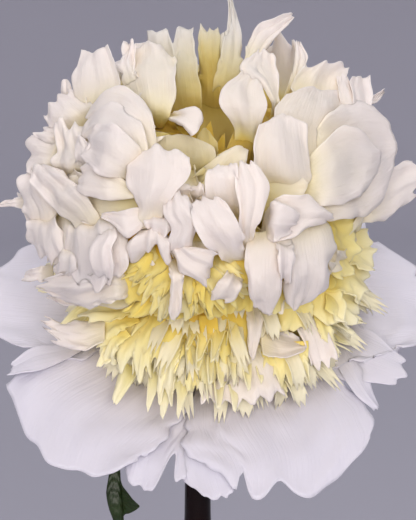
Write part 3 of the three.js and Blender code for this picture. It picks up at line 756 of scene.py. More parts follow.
# %% The crown petals: left side
SMOOTH = dict(flute=0.7, waves=4, pleat=0.6, buckle=0.8, torn=0.07, nick=0.012, roll=0.5)
CRISP = dict(flute=1.1, waves=6, pleat=1.1, buckle=0.9, torn=0.12, nick=0.03)
CROWN_LEFT = {
    "upright": shaped([-54, 36, -46, 36, -16, 0], [-56.5, 44, -43, 44, -8, 2], [-57.5, 51, -38, 50, -4, 2],
        [-56, 59, -39.5, 59, -3, 1], [-54.5, 65.5, -41.5, 66.5, -2, 0], widen=1, sink=3, end=(0.01, 0, 1),
        notches=[(-0.05, 0.08, 0.5)], **SMOOTH),
    "knob": shaped([-61, 42, -57, 42, -14, 0], [-62.5, 47, -57.5, 47, -12, 1],
        [-61.5, 52, -57.5, 52, -11, 0], end=(0.3, 0, 1), **SMOOTH),
    "upper rim": shaped([-58, 26, -46, 34, -16, 0], [-66, 32, -50, 42, -8, 2], [-69, 37, -56, 47, -6, 1],
        [-70, 41, -60, 49, -6, 0], end=(0.15, 0.12, 3), flute=1.2),
    "middle rim": shaped([-60, 20, -56, 30, -14, 0], [-68, 25, -64, 34, -7, 2], [-73.5, 28, -70, 35, -6, 0],
        end=(0.15, 0.1, 2)),
    "lower rim": shaped([-62, 10, -58, 24, -14, 0], [-70, 12, -66, 27.5, -7, 2], [-78, 15, -77, 29, -6, 0],
        end=(0.1, 0.06, 2), flute=0.8),
    "rosette, outer fold": shaped([-25, 14, -36, 14, -7, 0], [-23.5, 28, -33, 27, -2, 3],
        [-25.5, 38, -35, 32, 1, 5], [-31, 45.5, -39, 34, 2, 6], [-38, 49, -43, 35, 1, 6],
        [-46, 47, -49, 35, -1, 5], [-53, 40, -53, 33, -5, 1], sink=0, end=(0.25, 0.02, 1), **SMOOTH),
    "rosette, second fold": shaped([-27.5, 10, -38, 12, -4, 0], [-27, 24, -37, 22, 1, 3],
        [-30, 35, -39, 28, 4, 5], [-38, 41.5, -44, 29, 5, 6], [-47, 40, -50, 29, 3, 4],
        [-55, 33, -54, 24, -1, 1], sink=0, end=(0.2, 0.02, 1), **SMOOTH),
    "rosette, heart": shaped([-47, 12, -38, 8, -8, 0], [-50, 22, -38, 18, 2, 3], [-49, 30, -38, 28, 4, 4],
        [-44, 35, -38, 34, 4, 1], end=(0.2, 0.02, 1), warm=0.05),
    "rosette, left lobes": shaped([-62, 8, -52, 10, -8, 0], [-65, 18, -53, 18, 0, 3],
        [-64.5, 28, -54, 28, 1, 3], [-63, 37, -54.5, 37, -1, 1], notches=[(0, 0.12, 0.25)]),
    "rosette, small point": shaped([-56, 14, -50, 14, -2, 0], [-56.5, 20, -50.5, 20, 3, 2],
        [-56, 29.5, -52, 28, 3, 0], end=(0.2, 0, 1), **SMOOTH),
    "rosette, inner roll": shaped([-31, 11, -28, 17, -3, 0], [-39, 11.5, -31, 24, 5, 4],
        [-46, 14, -37, 30.5, 9, 5], [-52, 18, -43, 33, 8, 4], [-55, 23, -49, 31, 4, 0], sink=2, **SMOOTH),
    "rosette, lower leaf": shaped([-29.5, 3.2, -29.8, 4.4, 1, 0], [-36, 2.2, -36, 10, 3, 1],
        [-44, 2, -44, 15.5, 6, 4], [-51, 3.6, -50, 17.5, 6, 4], [-56, 6.5, -54.5, 14.5, 3, 0], widen=1,
        sink=0, end=(0.06, 0, 1), warm=0.06, **SMOOTH),
    "left hollow": shaped([-28, -8, -32, 8, -6, 0], [-42, -9, -44, 10, -3, 1], [-56, -4, -56, 14, -4, 1],
        [-64, 6, -62, 20, -10, 0], sink=0, warm=0.14),
    "far left": shaped([-74, -16, -66, -14, -10, 0], [-77.5, -3, -66, -4, -3, 3], [-81, 7, -70, 7, -2, 3],
        [-79.5, 17, -73, 16.5, -4, 0], end=(0.15, 0.04, 2)),
    "long fold": shaped([-50, -15, -45, -11, -4, 0], [-57, -9, -48, -4, 0, 2], [-63.5, -3, -53, 4, 3, 5],
        [-69.5, 4, -58.5, 9.5, 4, 6], [-74, 10.5, -63.5, 14.5, 3, 4], [-76, 16, -68, 17.5, -1, 0], sink=2,
        end=(0.22, 0.03, 2), flute=0.9, waves=3, pleat=0.9, roll=1.2),
    "behind the long fold": shaped([-60, 4, -54, 6, -14, 0], [-64, 14, -55, 12, -8, 1],
        [-66, 18, -56, 18, -8, 0], warm=0.1),
    "spike": shaped([-76, -2, -76, 3, -14, 0], [-82, -0.6, -82, 3, -12, 0], [-88.5, -0.3, -87.5, 1, -11, 0],
        end=(0, 0, 1), **SMOOTH),
    "kite": shaped([-26.5, -7.5, -26.5, -1.5, -2, 0], [-31, -11.5, -32, -1, 2, 1],
        [-35, -14.2, -37, -2, 5, 1], [-39.5, -9.5, -40.5, -2.8, 4, 1], [-45, -4.8, -45, -3.6, 2, 0],
        widen=1, sink=0, end=(0, 0, 1), flute=0.4, pleat=0.4, warm=-0.2),
    "beside the kite": shaped([-26, -4, -18, -3, -4, 0], [-28, -7, -16, -7, 1, 1],
        [-27, -12, -16, -15, 1, 0], warm=-0.2, **CRISP),
    "hood": shaped([-28, -9, -21, -9, -4, 0], [-32, -14, -18.5, -13, 2, 4], [-34, -20, -17.5, -19, 3, 3],
        [-34, -28, -17, -31, 1, 0], notches=[(0.1, 0.36, 0.6)], warm=-0.2, **CRISP),
    "ruffle, first": shaped([-72, -2, -65, -2, -8, 0], [-77, -9, -64, -9, 1, 3],
        [-77.5, -16, -63, -17, 2, 4], [-75.5, -23, -61, -27, 0, 0], end=(0.12, 0.08, 3)),
    "ruffle, second": shaped([-68, -2, -57, -2, -8, 0], [-67, -10, -56, -10, -3, -2],
        [-66, -18, -56, -18, -2, 1], [-65, -26, -56, -26, -3, 0]),
    "ruffle, lobe": shaped([-61, -16, -57, -16, -3, 0], [-65, -22, -56.5, -22, 4, 3],
        [-66.5, -27, -57, -28, 6, 2], [-65, -31, -59, -31, 2, 0], flute=0.9),
    "ruffle, third": shaped([-53, -4, -45, -3, -8, 0], [-60, -11, -41, -9, 1, 4],
        [-62, -19, -37, -17, 4, 6], [-60, -27, -36, -26, 5, 5], [-55, -34, -39, -34, 2, 1],
        end=(0.15, 0.08, 3), flute=1.8, waves=4, pleat=2.2),
    "ruffle, fourth": shaped([-47, -5, -43, -5, -3, 0], [-46.5, -12, -40, -12, 6, 2],
        [-50, -19, -42, -19, 10, 3], [-49, -27, -41, -27, 9, 3], [-45, -35, -40, -35, 4, 0],
        end=(0.3, 0.03, 1), **SMOOTH),
    "ruffle, spread": shaped([-30, -31, -31, -34.5, -8, 0], [-40, -29, -39, -39, 2, 3],
        [-50, -28, -50, -42.5, 5, 4], [-60, -28.5, -60, -43, 5, 3], [-68, -30, -67, -40.5, 3, 1],
        [-73.5, -31.5, -71.5, -36.5, 0, 0], end=(0.15, 0.12, 4), flute=1.8, waves=8, pleat=1.2),
    "ruffle, left end": shaped([-66, -25, -66, -32, -8, 0], [-72, -26, -72, -32, -5, 1],
        [-79, -28, -78, -31.5, -7, 0]),
    "ruffle, lowest": shaped([-48, -38, -48, -43.5, -8, 0], [-58, -40, -57, -45, -2, 0],
        [-69, -40.5, -68, -44.5, -5, 0], end=(0.1, 0.15, 3)),
}
print("left side:", len(CROWN_LEFT), "petals")

# %% [markdown]
# ## The top and the right side
#
# At the top stand two tall groups, a cup on the left and a split petal with its lobes on the right.
# Below the right group lies a wide bowl of several petals, one in the other.

# %% The crown petals: top and right
CROWN_RIGHT = {
    "cup, left fold": shaped([-34, 46, -30, 46, -5, 0], [-37, 54, -31, 53, -1, 1],
        [-37, 61, -32, 60, -1, 1], [-34, 68, -30.5, 67, -3, 0]),
    "leaning spear": shaped([12, 46, 17, 45, -30, 0], [14, 60, 18, 57, -22, 0], [15, 67, 22, 63, -18, 1],
        [19, 74, 26, 68.5, -16, 1], [26, 76, 30.5, 73, -15, 0], [34, 80, 35.4, 78.8, -14, 0], widen=1,
        end=(0, 0, 1), roll=0),
    "split": shaped([9, 20, 19, 18, -22, 0], [10, 30, 19, 28, -14, 2], [7, 37, 22, 35, -4, 3],
        [3, 43, 24, 41, 1, 3], [6, 50, 22, 48, 1, 2], [12, 55, 21, 53, 0, 1], [14, 59, 21, 57, -2, 0],
        widen=1, **SMOOTH),
    "split, right half": shaped([24.5, 34, 28, 34, -18, 0], [25, 42.5, 28.6, 43, -5, 0],
        [21, 50, 28.4, 50, 0, 1], [12.5, 56.5, 27.4, 57, 0, 2], [15, 60.5, 25.8, 61, -1, 1],
        [18.5, 63.3, 23.5, 63.3, -3, 0], widen=1.05, **SMOOTH),
    "sickle": shaped([27, 38, 30, 38, -24, 0], [32, 47.5, 36, 48, -16, 0], [34.5, 57, 38, 56, -12, 1],
        [35.5, 63, 40, 62, -10, 1], [35.8, 69, 37.2, 68.5, -9, 0], end=(0, 0, 1), **SMOOTH),
    "ridge": shaped([34, 36, 52, 34, -26, 0], [34, 46, 54, 44, -12, 2], [36, 53.5, 55, 53, -8, 1],
        [42, 57, 58, 58.8, -8, 0], end=(0.05, 0.03, 2), warm=0.1),
    "first lobe": shaped([54, 30, 60, 28, -14, 0], [55, 42, 60, 40, -5, 1], [54, 49, 59, 48, -3, 1],
        [52.3, 56, 57.5, 54.5, -4, 0], **SMOOTH),
    "second lobe": shaped([58, 28, 66, 28, -14, 0], [59, 42, 65.5, 41, -4, 1], [58, 50, 66.5, 48, -3, 1],
        [59.5, 54, 66, 55, -4, 0], end=(0.02, 0, 1), **SMOOTH),
    "small spike": shaped([62, 32, 65, 30, -14, 0], [64, 44.5, 66, 41, -8, 0],
        [68, 45.5, 69.5, 43.2, -8, 0], [72, 47.8, 72.6, 47, -8, 0], end=(0, 0, 1), **SMOOTH),
    "bowl, front": shaped([25, 2, 44, 0, -14, 0], [18, 12, 43, 10, -7, 3], [17.5, 22, 41, 21, -4, 5],
        [19, 31, 39, 31, -3, 5], [23.5, 38.5, 36, 37, -3, 1], widen=1, end=(0.12, 0.02, 1), **SMOOTH),
    "bowl, middle": shaped([36, 2, 46, 0, -15, 0], [30, 16, 50, 14, -10, 2], [27, 30, 53, 28, -7, 3],
        [28, 39, 56, 39, -5, 4], [34, 47.5, 55.5, 49, -6, 1], end=(0.06, 0.02, 2), **SMOOTH),
    "bowl": shaped([34, -2, 34, 14, -16, 0], [48, -4, 46, 32, -3, -12], [62, -3, 58, 41, 1, -18],
        [73, 4, 69, 40, 2, -15], [81, 15, 78, 35, 1, -5], end=(0.12, 0.01, 1), **SMOOTH),
    "bowl, outer": shaped([50, -8, 52, 6, -22, 0], [62, -7, 66, 12, -16, 1], [74, -5, 78, 16, -12, 1],
        [80, 0, 84, 18, -12, 0], [87, 4, 87, 18, -13, 0], end=(0.05, 0.1, 3), flute=1.2, buckle=0.5),
    "small triangle": shaped([-18.5, 36, -18, 38, -8, 0], [-12, 33, -11, 40, -3, 1],
        [-7, 28, -5, 41.5, -1, 1], [-4, 31, -1.5, 38.5, -3, 0], widen=1, end=(0.2, 0, 1), warm=-0.1,
        **SMOOTH),
    "cup": shaped([-26, 32, -20, 32, -16, 0], [-33, 42, -16, 40, -7, 3], [-37, 53, -14, 50, -3, 4],
        [-36.5, 62, -14, 60, -3, 3], [-33.5, 70, -17, 67, -4, 1], widen=1, end=(0.08, 0.04, 3),
        notches=[(-0.75, 0.06, 0.12)], flute=1.2, pleat=1.6, roll=0.2, warm=0.12),
    "bowl, inner layer": shaped([34, 0, 34, 12, -12, 0], [47, -1, 46, 26, 0, -6], [58, 1, 54, 33, 3.5, -8],
        [68, 7, 64, 32, 4.5, -7], [74.5, 15, 71, 28, 4, -2], widen=1, sink=2, end=(0.2, 0.0, 1), **SMOOTH),
}
print("top and right:", len(CROWN_RIGHT), "petals")

# %% [markdown]
# ## Round the cleft
#
# Between the two tall groups a deep cleft runs down into the bloom. The petals round it stand far
# back, and a spear rises out of them above all others. Most of them are coloured darker and warmer
# than the crown: painted shade of the cleft.

# %% The crown petals: round the cleft
CROWN_CLEFT = {
    "two lobes": shaped([-22, 34, -4, 36, -26, 0], [-25, 48, -3.5, 47, -19, -3], [-26, 58, -5, 57, -15, -3],
        [-27, 66, -6, 66, -14, -2], [-27.5, 75, -6.5, 76, -14, 0], widen=1, end=(0.02, 0.01, 2),
        notches=[(0.1, 0.24, 0.13), (-0.5, 0.12, 0.4)], flute=0.8, roll=0),
    "dark blade": shaped([-5, 36, 4, 36, -34, 0], [-5, 50, 4, 48, -28, 0], [-5, 62, 4.5, 61, -24, 0],
        [-4.5, 76, 3.5, 74.5, -20, 0], widen=1.05, end=(0, 0.03, 2), notches=[(-0.25, 0.06, 0.2)], roll=0,
        warm=0.25),
    "spear": shaped([0, 38, 8, 38, -34, 0], [1, 50, 11, 50, -26, 2], [3, 60, 14, 61, -20, 2],
        [5, 69, 13.5, 68, -17, 1], [7.5, 77, 11.5, 77, -16, 0], [6.8, 88, 8.2, 87.6, -14, 0], widen=1,
        end=(0, 0, 1), roll=0, warm=-0.1),
    "spear, side point": shaped([2.5, 58, 7, 58, -22, 0], [3, 66, 8, 66, -19, 0],
        [4, 71.5, 7, 71.5, -18, 0], end=(0, 0, 1), **SMOOTH),
    "inner wall": shaped([-20, 4, -2, 4, -20, 0], [-24, 16, 2, 14, -14, 3], [-23.5, 25, 2, 21, -11, 3],
        [-22, 31.5, -3, 28, -11, 1], widen=1, end=(0.15, 0.02, 1), warm=0.1, **SMOOTH),
    "inner blade": shaped([-6, 17, 2.5, 16, -18, 0], [-7, 25, 3, 24, -13, 1], [-5, 34, 1, 32, -13, 0],
        widen=1, end=(0.3, 0, 1), warm=0.3, **SMOOTH),
    "cleft": shaped([-6, 8, 16, 8, -30, 0], [-6, 24, 15, 24, -30, -3], [-7, 40, 14, 40, -34, -3],
        [-7, 58, 13, 58, -40, 0], warm=0.45, **SMOOTH),
    "cleft, right side": shaped([6, 10, 18, 10, -22, 0], [7, 22, 20, 22, -18, 1], [10, 30, 20, 30, -17, 0],
        [12, 36, 18, 36, -18, 0], warm=0.35, **SMOOTH),
}
print("round the cleft:", len(CROWN_CLEFT), "petals")

# %% [markdown]
# ## The middle
#
# The nearest petals are small and crisp. They curl round each other like paper rolls, and two long
# lobes hang down from them over the collar. With them the counted petals are complete and are made.

# %% The crown petals: the middle
CROWN_MIDDLE = {
    "goblet": shaped([-34, -10, -21, -10, -1, 0], [-31, -3, -20, -3, 1, 3], [-32, 3, -17, 3, 3, 4],
        [-35, 10, -10.5, 9, 5, 4], [-36, 17, -8, 16, 6, 2], [-33, 27, -11, 25.5, 2, 0], widen=1.06, sink=0,
        end=(0.1, 0.06, 3), flute=1.2),
    "arch": shaped([-13, 0, -4, 0, -8, 0], [-14, 6, -3, 6, -2, 2], [-11, 10.5, -4, 9.5, -4, 0], warm=-0.1,
        **CRISP),
    "left roll": shaped([-14, -24, -9, -20, -4, 0], [-18, -16, -8, -16, 3, 3], [-16, -9, -6, -9, 5, 4],
        [-19, -3, -8, -2, 5, 4], [-19.5, 1, -10, 4, 3, 2], [-15, 5, -11, 6, 0, 0], warm=-0.2, flute=0.8),
    "slanting roll": shaped([10, -25, 14, -23, -2, 0], [3, -22, 14.5, -19, 4, 2],
        [-2, -17, 13.5, -14, 7, 5], [-6, -10, 11, -8, 8, 6], [-9, -2, 6.5, -2, 6, 5],
        [-9.5, 4.5, 0.5, 5, 0, 1], widen=1.05, **CRISP),
    "behind the rolls": shaped([-12, -12, -2, -12, -5, 0], [-11, -18, -1, -18, -3, 0],
        [-8, -21, -1, -21, -4, 0], warm=0.25),
    "lower flap": shaped([-18, -12, -12, -14, -3, 0], [-17, -19, -9, -18, 2, 1],
        [-13.5, -27, -3, -18.5, 4, 2], [-6, -31, 3, -21, 5, 2], [0.5, -37, 4, -23, 2, 0], warm=-0.2,
        **CRISP),
    "finger": shaped([-18, -22, -12, -24, -1, 0], [-17, -30, -11.5, -30, 3, 1],
        [-17, -38, -12.5, -38, 4, 1.5], [-17, -48, -13, -48, 2, 1], end=(0.2, 0, 1), **CRISP),
    "right of the rolls": shaped([4, -10, 12, -10, -14, 0], [1, -2, 12, -2, -8, -2], [-2, 6, 11.5, 6, 0, 2],
        [-2, 13, 10.5, 13, 3, 3], [0, 18.5, 10, 20, 0, 0], end=(0.06, 0.03, 2), flute=0.9),
    "tall wedge": shaped([13.5, -23, 15.5, -22, -5, 0], [12, -11, 19, -11, 3, 2], [11, 0, 22.5, 0, 5, 3],
        [10, 8, 24, 8, 5, 3], [9.5, 15, 20, 15, 3, 2], [9.5, 20, 17, 20, 1, 0], widen=1,
        end=(0.08, 0.02, 1), **CRISP),
    "bud, outside": shaped([20, -15, 23, -3, -4, 0], [26, -16, 29, 4, 2, -5], [34, -14.5, 38, 4.5, 4, -6],
        [42, -9.5, 45, 2, 4, -2], [51, -7, 52.5, -3, 0, 0], widen=1.03, warm=-0.1, **CRISP),
    "bud, inside": shaped([22, -14, 23, -4, -1, 0], [26, -15, 28, 1, 4, 3], [32, -13.5, 33, -1, 5, 3],
        [38, -10, 37, -4, 3, 0], warm=-0.1, **CRISP),
    "lower lobe": shaped([18, -11, 31, -10, -3, 0], [14.5, -18, 34, -16, 1, 4],
        [13.5, -25, 33.5, -23, 4, 6], [15, -32, 31.5, -31, 6, 6], [17, -39, 29, -38, 5, 4],
        [18.5, -45.5, 25.5, -45, 2, 1], widen=1.04, sink=3, end=(0.1, 0.03, 2), warm=-0.05, flute=1.2,
        waves=4, pleat=1.4),
    "lower right": shaped([29, -9, 46, -5, -5, 0], [28.5, -15, 51, -12, -1, 3], [29.5, -22, 52, -19, 2, 6],
        [31, -30, 50.5, -28, 4, 6], [31.5, -38, 48, -37, 3, 4], [33, -47, 40, -46, 1, 0], widen=1.04,
        sink=3, end=(0.1, 0.05, 3), flute=1.8, waves=7, pleat=1.6, nick=0.02, warm=-0.05),
    "twisted thread": shaped([9, -26, 13, -28, -4, 0], [4.5, -31, 12, -35, 2, 2], [1, -36, 10, -40.5, 3, 1],
        [-1.5, -39, 4, -42.5, 0, 0], **CRISP),
    "between the lobes": shaped([28, -13, 33, -12, 0, 0], [27.5, -20, 35, -20, 6, 2],
        [28.5, -28, 35, -28, 8, 2], [30, -35, 34, -35, 5, 0], **CRISP),
}
CROWN_THICKNESS = 0.28


def crown_piece(side, petals, columns, rows, colour=CROWN_WHITE):
    sheet = petal_sheet(petals, columns, rows, *IN_CROWN)
    tissue("crown_petals_" + side, sheet, colour, "crown_petals", CROWN_THICKNESS)


COUNTED = [
    ("left", CROWN_LEFT, 0, CROWN_WHITE),
    ("right", CROWN_RIGHT, 40, CROWN_WHITE),
    ("cleft", CROWN_CLEFT, 61, CLEFT_SHADED),
    ("middle", CROWN_MIDDLE, 80, CROWN_WHITE),
]
for side, table, seed, colour in COUNTED:
    crown_piece(side, listed(table, on_ball, seed, widen=1.14, sink=7), 30, 36, colour)

# %% [markdown]
# ## The rest of the crown
#
# Round the back nobody counts petals, but the ball has to be as full. A sunflower's rule spreads
# them evenly: each next petal turns by the golden angle and steps a little further down the ball.
# Two smaller sets by the same rule stand deeper, between and behind the counted ones, and close the
# ball. Where the bloom has a dark hollow they stand deeper still, and their colour goes warmer and
# darker there: painted shade of the hollow. A skirt of low petals lies out over the collar at the
# back.

# %% The rest of the crown
GOLDEN_ANGLE = math.pi * (3 - math.sqrt(5))
SPREAD_DOWN = 1.5  # how far down the ball petals are spread, in radii
HOLLOW_DEPTH = 0.56  # how far out petals reach in a hollow, as a share of the radius
LISTED_FROM = 0.3  # the cosine from the line of sight from which petals are counted ones
# The hollows are discs as they are seen: across, up, radius.
HOLLOWS = [(2, 54, 42), (-8, -28, 32), (56, 18, 36), (34, 66, 24)]


def hollow_share(out):
    """How near a direction from the crown's middle is to one of the bloom's dark hollows."""
    across, up = out[0] * SEEN_BALL, out.dot(seen_direction(0, 1, 0)) * SEEN_BALL
    return max(1 - between(0.5, 1, math.hypot(across - a, up - b) / wide) for a, b, wide in HOLLOWS)


def spread_petals(count, depth, in_front, first_seed, size):
    """A set of petals by the sunflower's rule, either in front or behind, sunk where a hollow is."""
    middle = np.array([0, 0, CROWN_CENTRE])
    viewer = seen_direction(0, 0, 1)
    petals = []
    for k in range(count):
        own = first_seed + k - 100
        z = 1 - (SPREAD_DOWN * (k + 0.5)) / count
        ring = math.sqrt(1 - z * z)
        turn = k * GOLDEN_ANGLE
        out = np.array([ring * math.cos(turn), ring * math.sin(turn), z])
        beside = between(-0.2, LISTED_FROM, out.dot(viewer))
        spread = mix(0.88, 1, draw(own, 4))
        sunk = hollow_share(out) if out.dot(viewer) > -0.1 else 0
        radius = CROWN_RADIUS * mix(depth if in_front else mix(spread, 0.8, beside), HOLLOW_DEPTH, sunk)
        waist = middle + out * radius * 0.86
        if collar_plane(waist[None])[0] + 3 > waist[2] or (out.dot(viewer) > LISTED_FROM) != in_front:
            continue
        aside = np.array([-math.sin(turn), math.cos(turn), 0])
        sway = 2 * math.pi * draw(own, 3)
        lean = aside * math.cos(sway) + np.cross(out, aside) * math.sin(sway)
        petal = dict(root=middle + unit(waist - middle) * radius * 0.5, waist=waist)
        petal.update(tip=middle + unit(out + lean * 0.34) * radius * 1.03, face=unit(out - lean * 0.5))
        petal.update(width=size * mix(28, 38, draw(own, 5)), flute=size * mix(2, 3.5, draw(own, 8)))
        petal["cup"] = mix(40, 90, draw(own, 6)) * (-1 if draw(own, 7) < 0.5 else 1)
        petal["outline"] = "ragged" if draw(own, 9) < 0.55 else "round"
        # In front, the nearer a hollow, the warmer and darker the colour: painted shade.
        petal.update(seed=first_seed + k, warm=mix(0.15, 0.6, sunk) if in_front else 0)
        petals.append(petal)
    return petals


SKIRT_COUNT = 26


def skirt_petals():
    """The crown's lowest petals, which lie out over the collar and close the gap between the two."""
    petals = []
    for i in range(SKIRT_COUNT):
        k = 1200 + i
        turn = 2 * math.pi * (i + 0.5 * draw(k, 3)) / SKIRT_COUNT
        out, aside = compass(turn)
        behind = between(-0.2, 0.5, -math.cos(turn))
        if behind == 0:
            continue
        reach = mix(50, 76, behind) * mix(0.9, 1.02, draw(k, 4))
        level = collar_plane((out * reach)[None])[0]
        petal = dict(root=(0, 0, COLLAR_Z + 8))
        petal["waist"] = out * reach * 0.6 + (0, 0, level + mix(5, 12, draw(k, 5)))
        petal["tip"] = out * reach + aside * mix(-9, 9, draw(k, 6)) + (0, 0, level + mix(0, 9, draw(k, 7)))
        petal.update(face=out * 0.4 + (0, 0, 1), width=mix(22, 30, draw(k, 8)), cup=mix(-70, 50, draw(k, 9)))
        petal.update(outline="ragged" if i % 2 else "round", flute=2, waves=4, seed=k, warm=0.1)
        petals.append(petal)
    return petals


crown_piece("skirt", skirt_petals(), 20, 20)
crown_piece("back", spread_petals(58, 1, False, 100, 1), 22, 22)
crown_piece("inner", spread_petals(200, 0.865, True, 700, 0.58), 18, 18)
crown_piece("heart", spread_petals(70, 0.66, True, 900, 0.9), 12, 12)

# %% [markdown]
# ## The yellow collar
#
# Petaloids are stamens that have half turned into petals: narrow, yellow and often split at the
# end. In front hang the ones that can be told apart, a few of them white. The bloom's throat, above
# them, opens into the crown, and a few broad ones line it.

# %% The petaloids that can be told apart
COLLAR_PETALS = {
    "broad fan": shaped([-23, -33, -15, -39, 40, 0], [-35, -45, -22, -52, 35, 3],
        [-42, -55, -28, -62, 28, 3], [-45, -70, -30, -76, 19, 0], end=(0.15, 0.18, 3)),
    "upper left": shaped([-28, -36, -27, -44, 40, 0], [-44, -39, -43, -47, 36, 2],
        [-58, -42, -56, -50, 30, 0], end=(0.1, 0.15, 2)),
    "left": shaped([-32, -42, -30, -48, 38, 0], [-44, -47, -40, -54, 32, 2], [-52, -58, -46, -62, 24, 0],
        end=(0.15, 0.1, 1)),
    "left, lower": shaped([-38, -48, -34, -54, 34, 0], [-44, -56, -39, -60, 28, 1],
        [-48.5, -65, -42, -69, 19, 0]),
    "split strip": shaped([-28, -48, -22, -50, 36, 0], [-31, -60, -25, -61, 28, 1],
        [-34, -76, -26, -77, 16, 0], end=(0.1, 0.3, 2)),
    "middle fan": shaped([-20, -42, -8, -42, 40, 0], [-25, -54, -10, -53, 33, 3],
        [-26, -62, -12, -62, 26, 2], [-27, -73, -13, -74, 18, 0], end=(0.1, 0.25, 3)),
    "long strip": shaped([-8, -44, -2, -44, 42, 0], [-9, -60, -3, -60, 30, 1], [-11, -81, -6, -81, 14, 0]),
    "second strip": shaped([-4, -46, 2, -46, 42, 0], [-4, -60, 3, -60, 30, 1], [-4, -78, 1, -78, 16, 0]),
    "apron": shaped([2, -26, 14, -30, 48, 0], [0, -42, 17.5, -40, 42, 3], [2, -53, 16.5, -51, 34, 3],
        [3, -69, 14, -67, 24, 0], end=(0.1, 0.06, 2)),
    "under the lobe": shaped([29, -34, 40, -33, 48, 0], [29, -45, 42, -42, 40, 2],
        [29, -55, 43, -53, 33, 0], end=(0.1, 0.08, 3)),
    "right, round": shaped([41, -30, 49, -28, 46, 0], [42, -40, 54, -37, 40, 3], [46, -52, 58, -50, 32, 0],
        end=(0.3, 0, 1)),
    "right, pointed": shaped([43, -44, 47, -43, 36, 0], [46, -54, 50.5, -52, 28, 1],
        [52, -66, 56, -64.5, 20, 0]),
    "right, highest": shaped([44, -4, 46, -14, 52, 0], [54, -3, 54, -13, 50, 1], [63, -4, 61, -13, 46, 0],
        warm=0.3),
    "right fringe, upper": shaped([47, -13, 49, -24, 48, 0], [58, -11.5, 60, -25, 44, 3],
        [70, -14, 71, -29, 38, 0], end=(0.12, 0.1, 4)),
    "right fringe, middle": shaped([48, -21, 48, -34, 44, 0], [58, -23, 57, -36, 40, 3],
        [70, -29, 65, -43, 32, 0], end=(0.12, 0.12, 3)),
    "right fringe, lower": shaped([48, -31, 48, -42, 42, 0], [56, -36, 54, -47, 36, 2],
        [66, -42, 61, -53, 28, 0], end=(0.12, 0.15, 3)),
    "torn strips": shaped([23, -58, 39, -57, 28, 0], [23, -68, 40, -67, 21, 1], [23, -79, 41, -78, 14, 0],
        end=(0.1, 0.35, 5)),
    "pale tips": shaped([-19, -56, -12, -56, 30, 0], [-22, -70, -15, -70, 21, 1],
        [-23, -87, -15, -87.5, 13, 0], end=(0.1, 0.3, 2), warm=-0.2),
}
WHITE_PETALOIDS = {
    "ragged white": shaped([-44, -49, -45, -57, 32, 0], [-55, -49, -54, -61, 28, 2],
        [-64, -48, -62, -59.5, 25, 1], [-74, -46, -72, -55, 23, 0], end=(0.1, 0.22, 3)),
    "white finger": shaped([15, -42, 20, -40, 44, 0], [15.5, -52, 21, -51, 38, 2],
        [15, -66.5, 20.5, -65.5, 28, 0], end=(0.25, 0.1, 1)),
    "pink flap": shaped([20, -50, 22, -62, 34, 0], [31, -53.5, 31, -64, 30, 1], [40.5, -56, 40, -62, 26, 0],
        end=(0.1, 0.05, 2)),
    "white fringe": shaped([34, -46, 46, -44, 34, 0], [39, -58, 50, -55, 27, 1], [44, -71, 54, -68, 19, 0],
        end=(0.1, 0.15, 3)),
    "lowest fringe": shaped([-2, -58, 20, -58, 28, 0], [-4, -70, 26, -68, 20, 2], [-2, -87, 31, -84, 12, 0],
        end=(0.1, 0.14, 5), warm=0.15),
}

# The petaloids in the throat are coloured deeper gold: partly their own colour, partly painted shade of the
# throat.
THROAT_PETALOIDS = {
    "fan, left": shaped([-6, -16, 4, -16, -20, 0], [-20, -28, 4, -28, -14, 3], [-33, -40, 2, -44, -11, 3],
        [-42, -48, -4, -54, -11, 0], warm=0.45, pleat=2.6, end=(0.15, 0.12, 7)),
    "fan, right": shaped([0, -16, 16, -16, -20, 0], [-2, -28, 19, -28, -15, 3], [-3, -40, 19, -40, -12, 3],
        [-3, -52, 17, -52, -12, 0], end=(0.1, 0.12, 5)),
    "beside the finger": shaped([-13, -24, -8, -24, -9, 0], [-12, -34, -6, -34, -5, 1],
        [-9, -49, -5, -48, -4, 0], end=(0, 0.1, 1)),
    "behind the hood": shaped([-42, -4, -18, -6, -10, 0], [-42, -18, -17, -18, -7, 2],
        [-41, -32, -17, -32, -7, 2], [-36, -42, -16, -46, -8, 0], warm=0.5, pleat=2.6, waves=6),
    "under the right lobe": shaped([24, -30, 34, -30, -10, 0], [24, -40, 34, -40, -7, 1],
        [24, -51, 33, -51, -8, 0], warm=0.2),
    "right wall": shaped([44, -2, 44, -24, -14, 0], [52, -3, 52, -32, -12, 2], [61, -4, 60, -36, -16, 0],
        end=(0.1, 0.1, 5), warm=0.2),
}
print(len(COLLAR_PETALS), "yellow,", len(WHITE_PETALOIDS), "white,", len(THROAT_PETALOIDS), "in the throat")

# %% [markdown]
# ## The collar as a whole
#
# Behind the ones that can be told apart, petaloids stand in three tiers all round the bloom. Narrow
# strands fan out of the throat and lie on its walls.

# %% The yellow collar
COLLAR_TIERS = [
    dict(count=17, root_z=17, tip_z=15, reach=77, width=15),
    dict(count=13, root_z=24, tip_z=27, reach=72, width=15),
    dict(count=9, root_z=31, tip_z=40, reach=66, width=14),
]
HEART_RADIUS = 34


